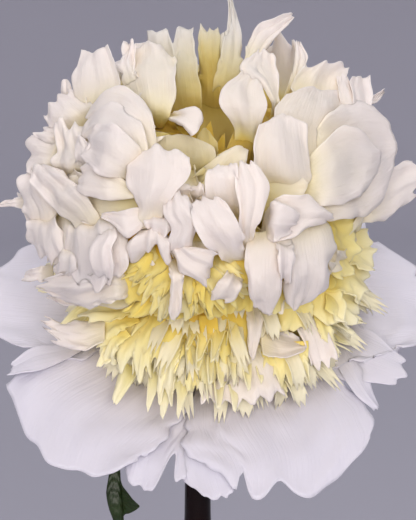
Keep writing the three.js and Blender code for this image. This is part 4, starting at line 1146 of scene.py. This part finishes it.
def tier_petals():
    """Broad and narrow petaloids by turns, all round the bloom, in each tier."""
    petals = []
    for level, tier in enumerate(COLLAR_TIERS):
        for i in range(tier["count"]):
            k = 200 + 40 * level + i
            turn = 2 * math.pi * (i + 0.5 * level + 0.5 * draw(k, 3)) / tier["count"]
            out, aside = compass(turn)
            up = np.array([0, 0, 1.0])
            reach = tier["reach"] * mix(0.9, 1.06, draw(k, 4))
            tip_z = tier["tip_z"] + mix(-3, 3, draw(k, 5))
            drift = mix(-8, 8, draw(k, 6))
            petal = dict(root=out * HEART_RADIUS * 0.6 + up * tier["root_z"])
            waist_z = mix(tier["root_z"], tip_z, 0.5) + 5
            petal["waist"] = out * reach * 0.66 + aside * drift * 0.3 + up * waist_z
            petal.update(tip=out * reach + aside * drift + up * tip_z, flute=1.5, seed=k, nick=0.03)
            petal.update(face=up + aside * mix(-0.5, 0.5, draw(k, 7)), cup=mix(-50, 50, draw(k, 8)))
            kind = ("fringe", 1.3) if i % 2 == 0 else ("strap", 0.6)
            petal.update(outline=kind[0], width=tier["width"] * kind[1])
            petals.append(petal)
    return petals


STRAND_COUNT = 17
STRANDS_FROM = np.array([-8, -10])
STRAND_TURNS = (186, 340)


def strand_petals():
    """Narrow petaloids that fan out of the throat and lie on its walls."""
    petals = []
    for i in range(STRAND_COUNT):
        k = 1300 + i
        turn = math.radians(mix(*STRAND_TURNS, (i + draw(k, 3)) / STRAND_COUNT))
        fan = np.array([math.cos(turn), math.sin(turn)])
        reach = mix(32, 46, draw(k, 4))
        steps = ((8, -18), (0.6 * reach, mix(-7, -4, draw(k, 5))), (reach, mix(-9, -4, draw(k, 6))))
        root, waist, tip = (on_ball(*(STRANDS_FROM + fan * out), lift) for out, lift in steps)
        petal = dict(root=root, waist=waist, tip=tip, face=seen_direction(*(0.4 * fan), 1))
        petal.update(width=mix(12, 19, draw(k, 7)), cup=mix(-35, 45, draw(k, 8)), outline="fringe")
        petal.update(flute=0.5, waves=3, seed=k, warm=mix(0.2, 0.5, draw(k, 9)), grid=(14, 24))
        petal.update(buckle=0.4, pleat=0.7, torn=0.08, nick=0.01, roll=0.4)
        petals.append(petal)
    return petals


def collar_piece(part, petals, grid, layer, thickness, colour=COLLAR_YELLOW):
    sheet = petal_sheet(petals, *grid, *layer)
    tissue("yellow_petaloids_" + part, sheet, colour, "yellow_petaloids", thickness)


RAISED = 5  # the waves and the crumple sink into the tiers behind without this
throat = listed(THROAT_PETALOIDS, on_ball, 380, flute=1.2, waves=9, pleat=1.8, warm=0.35)
collar_piece("throat", throat + strand_petals(), (36, 26), (in_crown, collar_heart), 0.4)
hanging = dict(flute=1.2, waves=9, nick=0.04, pleat=1.4, widen=1.25, raised=RAISED)
broad = tier_petals() + listed(COLLAR_PETALS, on_saucer, 300, **hanging)
collar_piece("broad", broad, (18, 26), IN_COLLAR, 0.5)
white = listed(WHITE_PETALOIDS, on_saucer, 340, flute=0.8, nick=0.02, widen=1.1, raised=RAISED)
pale = (in_collar, lambda p: collar_heart(p) * 0.3 + 0.7)
collar_piece("pale", white, (24, 26), pale, 0.5, CROWN_WHITE)

# %% [markdown]
# ## The fringe of fine petaloids
#
# Between the broad petaloids hang hundreds of thin ones, like a torn fringe. They all look alike
# and follow one surface, so geometry nodes place them: points are scattered on a bed, a dome with
# steep sides, and on each point stands one of four petaloids, turned to run down the bed.

# %% The fringe's bed
BED_RADIUS = 46
BED_FOOT_Z = 17
BED_UNDER_CROWN = 4
BED_CENTRE_X = 4
BED_SQUARENESS = 0.6
BED_STEPS = (64, 16)
LEAN_OUT, LIE_DOWN = 0.35, 1.5
PETALOID_KINDS = 4


def fringe_bed():
    """A dome inside the collar: its points, its faces, and which way is down at each point."""
    round_it = np.linspace(0, 2 * math.pi, BED_STEPS[0], endpoint=False)
    turns, levels = np.meshgrid(round_it, np.linspace(0.06, 1, BED_STEPS[1]))
    out = np.stack([np.sin(turns), -np.cos(turns), 0 * turns], -1)
    quarter = levels * math.pi / 2
    points = out * (BED_RADIUS * np.sin(quarter) ** BED_SQUARENESS)[..., None] + (BED_CENTRE_X, 0, 0)
    top = collar_plane(points.reshape(-1, 3)).reshape(levels.shape) - BED_UNDER_CROWN
    points[..., 2] = BED_FOOT_Z + (top - BED_FOOT_Z) * np.cos(quarter) ** BED_SQUARENESS
    down = np.gradient(points, axis=0)
    down /= np.linalg.norm(down, axis=-1, keepdims=True)
    # At the foot the petaloids lie down on the guard petals.
    direction = down + out * (LEAN_OUT + LIE_DOWN * levels**5)[..., None]
    sides = BED_STEPS[0]
    j, i = np.mgrid[0 : BED_STEPS[1] - 1, 0:sides]
    a, b = (j * sides + i).ravel(), (j * sides + (i + 1) % sides).ravel()
    faces = np.stack([a + sides, b + sides, b, a], -1)
    bed = mesh_object("bed", points.reshape(-1, 3), faces.tolist())
    run = bed.data.attributes.new("run", "FLOAT_VECTOR", "POINT")
    run.data.foreach_set("vector", direction.ravel())
    bed.data.attributes.new("level", "FLOAT", "POINT").data.foreach_set("value", levels.ravel())
    return bed


def fringe_petaloids():
    """A few thin petaloids along X, each with its own bend and end, in a collection of their own.

    They have few faces, since they stand on hundreds of points. The tree gives each one its tint.
    """
    group = bpy.data.collections.new("fringe petaloids")
    for k in range(PETALOID_KINDS):
        length, sink = mix(18, 27, draw(k, 60)), mix(-5, 2, draw(k, 61))
        petal = dict(root=(-3, 0, -1), waist=(length * 0.55, 0, 2.5), tip=(length, 0, sink), face=(0, 0, 1))
        petal.update(width=mix(5, 9, draw(k, 62)), cup=mix(-80, 80, draw(k, 63)), flute=0.9, waves=3)
        petal.update(outline="fringe", seed=950 + k, buckle=0.6, pleat=0.3)
        made = petal_sheet([petal], 6, 7, as_it_is, lambda p: between(-10, 30, p[:, 0]))
        made.data.attributes.remove(made.data.attributes["tint"])
        bpy.context.collection.objects.unlink(made)
        group.objects.link(made)
    return group


print("the bed has", BED_STEPS[0] * BED_STEPS[1], "points")

# %% [markdown]
# ## Petaloids by the hundred
#
# The tree scatters points on the bed and turns a petaloid on each: along the way down, then out from
# the bed, then a little off at random. Its inputs set how many there are, how large and how untidy.

# %% The tree of the fringe
def fringe_tree():
    numbers = dict(Density=("float", 0.04), Size=("float", 1.0), Spread=("float", 0.4), Seed=("int", 1))
    tree, into = new_tree(
        "Petaloid fringe", **numbers, Petaloids=("collection", None), Material=("material", None)
    )
    seed, spread = into["Seed"], into["Spread"]
    bed = {"Mesh": into["Geometry"], "Density": into["Density"], "Seed": seed}
    spots = node(tree, "GeometryNodeDistributePointsOnFaces", bed).outputs
    run = node(tree, "GeometryNodeInputNamedAttribute", {"Name": "run"}, data_type="FLOAT_VECTOR")
    along = node(tree, "FunctionNodeAlignRotationToVector", {"Vector": run}, axis="X")
    upright = {"Rotation": along, "Vector": spots["Normal"]}
    laid = node(tree, "FunctionNodeAlignRotationToVector", upright, axis="Z", pivot_axis="X")
    less = node(tree, "ShaderNodeMath", {0: spread, 1: -1.0}, operation="MULTIPLY")
    low = node(tree, "ShaderNodeCombineXYZ", {0: less, 1: less, 2: less})
    high = node(tree, "ShaderNodeCombineXYZ", {0: spread, 1: spread, 2: spread})
    limits = {0: low, 1: high, "Seed": seed}
    lean = node(tree, "FunctionNodeRandomValue", limits, data_type="FLOAT_VECTOR")
    lean = node(tree, "FunctionNodeEulerToRotation", {0: lean})
    lean = {"Rotation": laid, "Rotate By": lean}
    turn = node(tree, "FunctionNodeRotateRotation", lean, rotation_space="LOCAL")
    vary = {2: 0.7, 3: 1.25, "Seed": seed}
    vary = node(tree, "FunctionNodeRandomValue", vary, data_type="FLOAT").outputs[1]
    size = node(tree, "ShaderNodeMath", {0: vary, 1: into["Size"]}, operation="MULTIPLY")
    which = {4: 0, 5: PETALOID_KINDS - 1, "Seed": seed}
    which = node(tree, "FunctionNodeRandomValue", which, data_type="INT").outputs[2]
    kinds = {"Separate Children": True, "Collection": into["Petaloids"]}
    kinds = node(tree, "GeometryNodeCollectionInfo", kinds)
    stand = {"Points": spots["Points"], "Instance": kinds, "Pick Instance": True, "Instance Index": which}
    hung = node(tree, "GeometryNodeInstanceOnPoints", {**stand, "Rotation": turn, "Scale": size})
    shade = {2: 0.0, 3: 1.0, "Seed": seed}
    shade = node(tree, "FunctionNodeRandomValue", shade, data_type="FLOAT").outputs[1]
    tint = {"Name": "tint", "Geometry": hung, "Value": shade}
    tinted = node(tree, "GeometryNodeStoreNamedAttribute", tint, data_type="FLOAT", domain="INSTANCE")
    both = node(tree, "GeometryNodeJoinGeometry")
    tree.links.new(tinted.outputs[0], both.inputs[0])
    tree.links.new(into["Geometry"], both.inputs[0])
    whole = node(tree, "GeometryNodeRealizeInstances", {0: both})
    # The higher on the bed, the deeper in the bloom, and the more golden.
    own = node(tree, "GeometryNodeInputNamedAttribute", {"Name": "heart"}, data_type="FLOAT")
    level = node(tree, "GeometryNodeInputNamedAttribute", {"Name": "level"}, data_type="FLOAT")
    deep = node(tree, "ShaderNodeMath", {0: level, 1: 0.3, 2: -0.06}, operation="MULTIPLY_ADD")
    heart = node(tree, "ShaderNodeMath", {0: own, 1: deep}, operation="ADD")
    heart = {"Name": "heart", "Geometry": whole, "Value": heart}
    coloured = node(tree, "GeometryNodeStoreNamedAttribute", heart, data_type="FLOAT")
    return end_tree(tree, coloured, into["Material"])


petaloids = fringe_petaloids()
bed = fringe_bed()
sizes = dict(Density=0.03, Spread=0.34, Seed=4)
grow(bed, "fringe", fringe_tree(), Petaloids=petaloids, Material=COLLAR_YELLOW, **sizes)
thicken(bed, 0.25)
fringe = bake(bed, "yellow_petaloids_fringe", TO_ROW)
for spare in list(petaloids.objects):
    bpy.data.objects.remove(spare)
keep(fringe, COLLAR_YELLOW, "yellow_petaloids")

# %% [markdown]
# ## The guard petals
#
# The outermost petals are the largest: broad, smooth, a little wavy, with shallow notches. They
# overlap like the blades of a fan. The front ones go through rows, and those at the sides and
# back follow a line.

# %% The guard petals
GUARD_FRONT = {
    "left": shaped([-8, -46, 2, -50, 3, 0], [-40, -53, -6, -80, 6, 1], [-68, -62, -17, -98, 5, 2],
        [-86, -72, -28, -110, 1, 3], [-97, -92, -36, -131, -4, 0], end=(0.2, 0.02, 4), flute=2),
    "right": shaped([-3, -50, 8, -46, 3, 0], [-9, -80, 42, -58, 6, 1], [-14, -100, 64, -77, 5, 2],
        [-5, -113, 72, -97, 1, 2], [-4, -135, 74, -117, -5, 0], end=(0.2, 0.012, 3),
        notches=[(-0.56, 0.1, 0.05), (-0.15, 0.055, 0.12), (-0.8, 0.03, 0.1)], flute=1.5),
    "two-lobed": shaped([-6, -54, 2, -56, 1, 0], [-20, -84, -1, -88, 1, 1], [-34, -104, -8, -108, -2, 1],
        [-40, -121, -13, -127, -8, 0], end=(0.1, 0.02, 2), notches=[(0.38, 0.2, 0.2)]),
    "under the right": shaped([-8, -58, 8, -58, 1.5, 0], [-13, -98, 8, -98, 2, 1],
        [-13, -112, 10, -113, -2, 1], [-8, -125, 14, -127, -5, 0], end=(0.1, 0.02, 2)),
    "turned corner": shaped([48, -58, 56, -47, 9, 0], [57, -74, 64, -64, 8.5, -1], [64, -82, 68, -76, 5, 0],
        [69.5, -86.5, 71, -85, 0, 0], end=(0, 0, 1), flute=0.2),
    "turned band": shaped([-46, -55, -46, -52, 8, 0], [-60, -63.5, -60, -57, 9, 2],
        [-73, -69, -74, -58.5, 8, 2], [-86, -71.5, -84, -66, 4, 0], end=(0, 0.02, 1), flute=0.4),
}
GUARD_PETALS = [
    # turn reach width waistZ tipZ cup flute notches
    [62, 96, 40, 9, 7, -24, 2, []],
    [92, 108, 92, 4, 0, 20, 3, [[-0.5, 0.05, 0.1]]],
    [-96, 107, 88, 3, 0, 20, 3, [[0.2, 0.06, 0.1]]],
    [138, 100, 80, 4, 2, 24, 3, [[0.1, 0.08, 0.12]]],
    [180, 98, 78, 1, -4, 24, 3, [[-0.3, 0.1, 0.12]]],
    [-140, 100, 80, 4, 2, 24, 3, [[0.35, 0.08, 0.1]]],
]


def guard_petals():
    petals = []
    for k, (turn, reach, width, waist_z, tip_z, cup, flute, notches) in enumerate(GUARD_PETALS):
        out, _ = compass(math.radians(turn))
        petal = dict(root=out * 9 + (0, 0, 2.5), waist=out * reach * 0.55 + (0, 0, waist_z))
        petal.update(tip=out * reach + (0, 0, tip_z), face=(0, 0, 1), width=width, cup=cup)
        petal.update(flute=flute, notches=notches, outline="guard", waves=4, seed=403 + k)
        petals.append(petal)
    return petals


large = listed(GUARD_FRONT, on_saucer, 420, waves=4) + guard_petals()
for petal in large:
    petal.update(roll=0, pleat=0.5, buckle=0.6, twist=0.02)
saucer = petal_sheet(large, 44, 48, *IN_SAUCER)
tissue("guard_petals_broad", saucer, GUARD_WHITE, "guard_petals", 0.6, 4.5, 34.0)

# %% [markdown]
# ## The green parts
#
# Leaf, sepals, stem and, later, the vase are each two colours in one surface with a fine relief. So
# one function makes their materials, and each brings a pattern of its own.

# %% Green tissue
def two_tone_material(name, codes, surface, look):
    """Two colours in one surface. Its pattern gives their shares and the relief for the bump."""
    material, tree = blank_material(name)
    pattern, strength, distance = surface
    share, relief = pattern(tree, node(tree, "ShaderNodeTexCoord").outputs["Object"])
    colours = {"A": linear(codes[0]), "B": linear(codes[1]), "Factor": share}
    colour = node(tree, "ShaderNodeMix", colours, data_type="RGBA").outputs["Result"]
    end_material(tree, colour, relief, strength, distance, look)
    return material


def leaf_pattern(tree, here):
    """Patches of the two colours some 9 mm across, and sunken side veins that run forwards every 5 mm."""
    patches = node(tree, "ShaderNodeTexNoise", {"Scale": 1 / 0.009, "Detail": 3.0, "Vector": here})
    flat = node(tree, "ShaderNodeUVMap", uv_map="pattern")
    parts = node(tree, "ShaderNodeSeparateXYZ", {0: flat}).outputs
    beside = node(tree, "ShaderNodeMath", {0: parts["X"]}, operation="ABSOLUTE")
    forward = node(tree, "ShaderNodeMath", {0: beside, 1: -0.8, 2: parts["Y"]}, operation="MULTIPLY_ADD")
    turns = node(tree, "ShaderNodeMath", {0: forward, 1: 2 * math.pi / 0.005}, operation="MULTIPLY")
    return patches, node(tree, "ShaderNodeMath", {0: turns}, operation="COSINE")


LEAF_SURFACE = (leaf_pattern, 0.3, 0.0005)
GREEN_LOOK = {"IOR": 1.42, "Subsurface Weight": 0.1, "Subsurface Scale": 0.001}
# A leaf's wax makes it shinier than a petal, and a sepal has less of it. The leaf's two greens are
# near black: its own dark green with painted shade of the bloom above it.
waxy, matt = ({**GREEN_LOOK, "Roughness": roughness} for roughness in (0.38, 0.55))
LEAF_GREEN = two_tone_material("Leaf, waxy upper side", ("#12200f", "#33431f"), LEAF_SURFACE, waxy)
SEPAL_GREEN = two_tone_material("Sepal, matt green", ("#5f7a35", "#8aa352"), LEAF_SURFACE, matt)
print("green:", LEAF_GREEN.name, "/", SEPAL_GREEN.name)

# %% [markdown]
# ## The calyx
#
# Under the bloom sit five broad sepals and two narrow bracts, grown together round a cup. The cup is
# a profile turned about an axis, as the vase will be.

# %% The calyx
CALYX_HEIGHT, CALYX_RADIUS = 10, 11
STEM_RADIUS = 3.4
SEPAL_TURNS = [10, 84, 152, 226, 298]
BRACT_TURNS = [120, 262]


def green_blade(turn, reach, width, tip_z, seed):
    out, _ = compass(math.radians(turn))
    petal = dict(root=out * 6 + (0, 0, -5), waist=out * reach * 0.6 + (0, 0, -7.5))
    petal.update(tip=out * reach + (0, 0, tip_z), face=(0, 0, 1), width=width, cup=40, fold=0.05)
    petal.update(flute=0.4, waves=2, outline="sepal", seed=seed, roll=0, pleat=0.2, buckle=0.3, torn=0.02)
    return petal


def turned(profile, sides):
    """Points and faces of a profile of [radius, height] turned about the Z axis."""
    turn = np.arange(sides) * 2 * math.pi / sides
    points, rings, faces = [], [], []
    for radius, height in profile:
        if radius < 1e-6:
            rings.append([len(points)] * sides)
            points.append((0, 0, height))
            continue
        rings.append(list(range(len(points), len(points) + sides)))
        points += [(radius * math.cos(a), radius * math.sin(a), height) for a in turn]
    for low, high in zip(rings, rings[1:]):
        for i in range(sides):
            j = (i + 1) % sides
            corners = [low[i], low[j], high[j], high[i]]
            face = [c for n, c in enumerate(corners) if c not in corners[:n]]
            if len(face) > 2:
                faces.append(face)
    return points, faces


green = [green_blade(turn, 30, 18, -11, 500 + k) for k, turn in enumerate(SEPAL_TURNS)]
green += [green_blade(turn, 44, 7, -22, 510 + k) for k, turn in enumerate(BRACT_TURNS)]
sepals = petal_sheet(green, 12, 18, *UNLIMITED)
tissue("calyx_sepals", sepals, SEPAL_GREEN, "calyx", 0.7, 1.5)
CUP = [[0, -CALYX_HEIGHT], [STEM_RADIUS + 1.6, -CALYX_HEIGHT], [STEM_RADIUS + 3.4, -8.6]]
CUP += [[8.6, -5], [10.2, -2.4], [CALYX_RADIUS, -0.3], [0, -0.3]]
cup = bake(mesh_object("cup", *turned(CUP, 40)), "calyx_cup", TO_ROW)
keep(cup, SEPAL_GREEN, "calyx")

# %% [markdown]
# ## A rod along a path
#
# Stem and stalk are rods that follow a path, so geometry nodes draw them: the path comes in as a
# line of points, and a circle is swept along it.

# %% The tree for the stem and the stalk
def rod_tree():
    numbers = dict(Radius=("float", 3.4), Sides=("int", 32))
    tree, into = new_tree("Rod along a path", **numbers, Material=("material", None))
    path = node(tree, "GeometryNodeMeshToCurve", {0: into["Geometry"]})
    size = {"Resolution": into["Sides"], "Radius": into["Radius"]}
    ring = node(tree, "GeometryNodeCurvePrimitiveCircle", size)
    swept = {"Curve": path, "Profile Curve": ring, "Fill Caps": True}
    return end_tree(tree, node(tree, "GeometryNodeCurveToMesh", swept), into["Material"])


ROD = rod_tree()


def rod(name, points, radius, sides, material):
    edges = [(i, i + 1) for i in range(len(points) - 1)]
    source = mesh_object("path", points, [], edges)
    grow(source, "rod", ROD, Radius=radius, Sides=sides, Material=material)
    return bake(source, name, IN_MM)


# %% [markdown]
# ## The stem and the leaf
#
# The stem stands straight in the vase's neck and bends forward under the heavy flower. The leaf has
# pointed leaflets, folded along their midribs. Two spread out to the side and back. One hangs down
# beside the neck, with a small lobe at its side, and as it is seen it goes through rows.

# %% The stem and the leaf
def stem_pattern(tree, here):
    """A red flush in streaks 1 mm wide and some 30 mm long, and the ribs with them."""
    drawn = node(tree, "ShaderNodeMapping", {"Scale": (1 / 0.001, 1 / 0.001, 1 / 0.03), "Vector": here})
    streaks = node(tree, "ShaderNodeTexNoise", {"Scale": 1.0, "Detail": 2.0, "Vector": drawn})
    return node(tree, "ShaderNodeMapRange", {0: streaks, 1: 0.5, 2: 0.75, 4: 0.7}), streaks


STEM_SURFACE = (stem_pattern, 0.3, 0.0003)
ribbed = {**GREEN_LOOK, "Roughness": 0.45}
STEM_GREEN = two_tone_material("Peony stem, ribbed", ("#6b8040", "#7a4a38"), STEM_SURFACE, ribbed)
STEM_LEAN_Y = -0.5
STEM_FOOT_Z, STEM_BEND_Z = 7.3, 204
SOCKET_DEPTH = 6
BEND_PULL = 24


def stem_path():
    """Straight up out of the water, then a smooth bend into the flower's axis."""
    a = math.radians(BLOOM_TILT)
    axis = np.array([0, -math.sin(a), math.cos(a)])
    start = np.array([0, STEM_LEAN_Y, STEM_BEND_Z])
    end = np.array(BLOOM_AT) + axis * (SOCKET_DEPTH - CALYX_HEIGHT)
    pulls = [start, start + (0, 0, BEND_PULL), end - axis * BEND_PULL, end]
    path = [(0, STEM_LEAN_Y, z) for z in np.linspace(STEM_FOOT_Z, STEM_BEND_Z, 24)]
    for t in np.linspace(0, 1, 25)[1:]:
        shares = [(1 - t) ** 3, 3 * t * (1 - t) ** 2, 3 * t * t * (1 - t), t**3]
        path.append(tuple(sum(share * pull for share, pull in zip(shares, pulls))))
    return path


keep(rod("stem_fine", stem_path(), STEM_RADIUS, 36, STEM_GREEN), STEM_GREEN, "stem")

STALK = [(-2, -1, 219), (-16, 3, 227), (-31, 1, 222)]
SPREAD_LEAFLETS = [
    # root waist tip face width fold
    [(-30, 1, 222), (-56, 14, 221), (-86, 24, 200), (0.1, -0.2, 1), 28, 0.3],
    [(-29, 2, 222), (-40, 34, 216), (-50, 66, 196), (0.2, 0.3, 1), 27, 0.3],
]
HANGING_LEAFLET = {
    "blade": shaped([-33.4, -61, -32.2, -61, -76, 0], [-38, -72, -35, -72, -80, 0],
        [-45, -90, -36.5, -90, -80, 1], [-42.6, -108, -38, -108, -77, 1], [-42.8, -114, -38, -114, -75, 1],
        [-43.8, -120.5, -37.6, -120.5, -74, 1], [-43, -125.6, -37.2, -125.6, -74, 1],
        [-41.4, -131, -36.8, -131, -75, 1], [-38.5, -140, -36, -140, -77, 0],
        [-35.5, -147, -35.3, -147, -79, 0]),
    "side lobe": shaped([-38.6, -112, -38, -138, -77, 0], [-37.6, -117, -36.8, -131, -75, 0.5],
        [-35.1, -120.6, -34.4, -129.6, -73, 0.5], [-32.6, -123.6, -32.2, -128.4, -71, 0],
        [-29.8, -126.3, -29.8, -126.6, -70, 0]),
}


def stalk_path():
    a, b, c = (np.array(p, float) for p in STALK)
    return [(1 - t) ** 2 * a + 2 * t * (1 - t) * b + t * t * c for t in np.linspace(0, 1, 16)]


PLAIN_BLADE = dict(flute=0.3, waves=2, roll=0, pleat=0.2, buckle=0.3, torn=0.02, twist=0.02)
leaflets = []
for k, (root, waist, tip, face, width, fold) in enumerate(SPREAD_LEAFLETS):
    blade = dict(root=root, waist=waist, tip=tip, face=face, width=width, fold=fold, cup=0)
    leaflets.append({**blade, **PLAIN_BLADE, "outline": "leaflet", "seed": 602 + k})
blades = petal_sheet(leaflets, 16, 36, *UNLIMITED)
tissue("leaf_blades", blades, LEAF_GREEN, "leaf", 0.7, 2.0, 20, IN_MM)
blade = petal_sheet(listed(HANGING_LEAFLET, seen, 600, end=(0, 0, 1), **PLAIN_BLADE), 16, 36, *UNLIMITED)
tissue("leaf_hanging", blade, LEAF_GREEN, "leaf", 0.7, 1.5, 20)
keep(rod("leaf_stalk", stalk_path(), 1.5, 16, STEM_GREEN), STEM_GREEN, "leaf")

# %% [markdown]
# ## The vase
#
# Only the upper neck shows in front view: nearly black, with a narrow light rim at each side where
# the glaze mirrors the room. It was thrown on a wheel, so it is a profile turned about its axis: the
# outside as a smooth line through a few radii, the inside a wall further in.

# %% The vase and the water
VASE_HEIGHT, FOOT_RADIUS, BODY_RADIUS, BODY_CENTRE_Z = 212, 31, 43, 47
NECK_RADIUS, LIP_RADIUS, BORE_RADIUS = 6, 8, 4.2
VASE_WALL, VASE_FLOOR = 3, 7


def vase_outside():
    shape = np.array([
        [FOOT_RADIUS, 2],
        [BODY_RADIUS * 0.93, BODY_CENTRE_Z * 0.45],
        [BODY_RADIUS, BODY_CENTRE_Z],
        [BODY_RADIUS * 0.8, BODY_CENTRE_Z * 1.6],
        [BODY_RADIUS * 0.4, BODY_CENTRE_Z * 2.1],
        [NECK_RADIUS + 3, BODY_CENTRE_Z * 2.6],
        [NECK_RADIUS + 0.6, BODY_CENTRE_Z * 3.1],
        [NECK_RADIUS, VASE_HEIGHT - 30],
        [NECK_RADIUS, VASE_HEIGHT - 12],
        [LIP_RADIUS, VASE_HEIGHT - 1],
    ])
    steps = np.linalg.norm(np.diff(shape, axis=0), axis=1)
    knots = np.concatenate([[0], np.cumsum(steps)])
    return through(shape, knots, np.linspace(0, knots[-1], 90))


def vase_profile():
    outside = vase_outside()
    inner = [(r, z) for r, z in outside[::-1] if VASE_FLOOR + 3 < z < VASE_HEIGHT - 1.5]
    inside = [[max(r - VASE_WALL, BORE_RADIUS), z] for r, z in inner]
    # The foot's ring is glazed round its edges, and so is the lip: offsets in from the foot's and the
    # lip's radius and from the bore's.
    foot = [[0, 0.6]] + [[FOOT_RADIUS - x, z] for x, z in ((5, 0.6), (4, 0), (1, 0), (0.3, 0.6))]
    lip = [[LIP_RADIUS - x, VASE_HEIGHT - z] for x, z in ((0.2, 0.4), (0.8, 0))]
    lip += [[BORE_RADIUS + x, VASE_HEIGHT - z] for x, z in ((1.4, 0), (0.5, 0.4), (0, 1.3))]
    return foot + outside.tolist() + lip + inside + [[FOOT_RADIUS - 4, VASE_FLOOR + 0.8], [0, VASE_FLOOR]]


def glaze_pattern(tree, here):
    """Clouds some 25 mm across, browner where the glaze ran thin, and throwing rings 2.4 mm apart."""
    clouds = node(tree, "ShaderNodeTexNoise", {"Scale": 1 / 0.025, "Detail": 3.0, "Vector": here})
    ring = {"Scale": 1 / (0.0024 * 20), "Distortion": 1.5, "Vector": here}
    return clouds, node(tree, "ShaderNodeTexWave", ring, bands_direction="Z").outputs["Fac"]


# Near black, glassy, and slightly wavy: the rings are felt more than seen.
GLAZE_SURFACE = (glaze_pattern, 0.06, 0.0004)
glassy = {"Roughness": 0.12, "IOR": 1.5, "Specular IOR Level": 0.2}
GLAZE = two_tone_material("Glazed stoneware, black", ("#080101", "#180604"), GLAZE_SURFACE, glassy)
vase = bake(mesh_object("profile", *turned(vase_profile(), 96)), "vase_thrown", IN_MM)
keep(vase, GLAZE, "vase")


def plain_material(name, code, **values):
    material = bpy.data.materials.new(name)
    material.use_nodes = True
    shader = material.node_tree.nodes["Principled BSDF"]
    shader.inputs["Base Color"].default_value = linear(code)
    for key, value in values.items():
        shader.inputs[key.replace("_", " ")].default_value = value
    return material


WATER = plain_material("Water, clear", "#e8f2f2", Roughness=0.02, IOR=1.33, Transmission_Weight=1.0)
bpy.data.objects["water"].data.materials.clear()
bpy.data.objects["water"].data.materials.append(WATER)

# %% [markdown]
# ## The stage and the light
#
# The floor is one large pale dish whose rim turns up far away, so that it is seamless from every
# side. Three soft lights stand round the bloom as in a small studio: the strongest in front on the
# right, a weaker one on the left and a faint one overhead. A pale room fills in the rest.


# %% The stage and the light
STAGE_FLAT, STAGE_RIM = 2300, 900
bend = [math.radians(a) for a in range(0, 91, 6)]
dish = [[0, 0], [STAGE_FLAT, 0]]
dish += [[STAGE_FLAT + STAGE_RIM * math.sin(a), STAGE_RIM * (1 - math.cos(a))] for a in bend[1:]]
dish += [[STAGE_FLAT + STAGE_RIM, 3000]]
floor = bake(mesh_object("floor", *turned(dish, 96)), "studio_floor", IN_MM)
floor.data.materials.append(plain_material("Studio floor, painted", "#adacb7", Roughness=0.9))


LIT_POINT = (0, -50, 280)


def soft_light(name, place, size, power, code):
    light = bpy.data.lights.new(name, "AREA")
    light.size, light.energy, light.color = size * MM, power, linear(code)[:3]
    lamp = bpy.data.objects.new(name, light)
    lamp.location = Vector(place) * MM
    lamp.rotation_euler = (Vector(LIT_POINT) - Vector(place)).to_track_quat("-Z", "Y").to_euler()
    bpy.context.collection.objects.link(lamp)


soft_light("key", (390, -2000, 780), 900, 18.5, "#fffaf5")
soft_light("fill", (-640, -1950, 500), 900, 14, "#fff7f0")
soft_light("overhead", (-100, 200, 1400), 1200, 0.5, "#ffffff")
world = bpy.data.worlds.new("studio")
bpy.context.scene.world = world
world.use_nodes = True
sky = world.node_tree.nodes["Background"].inputs
sky["Color"].default_value = linear("#f4f2f6")
sky["Strength"].default_value = 1.05
bpy.context.scene.view_settings.view_transform = "Standard"
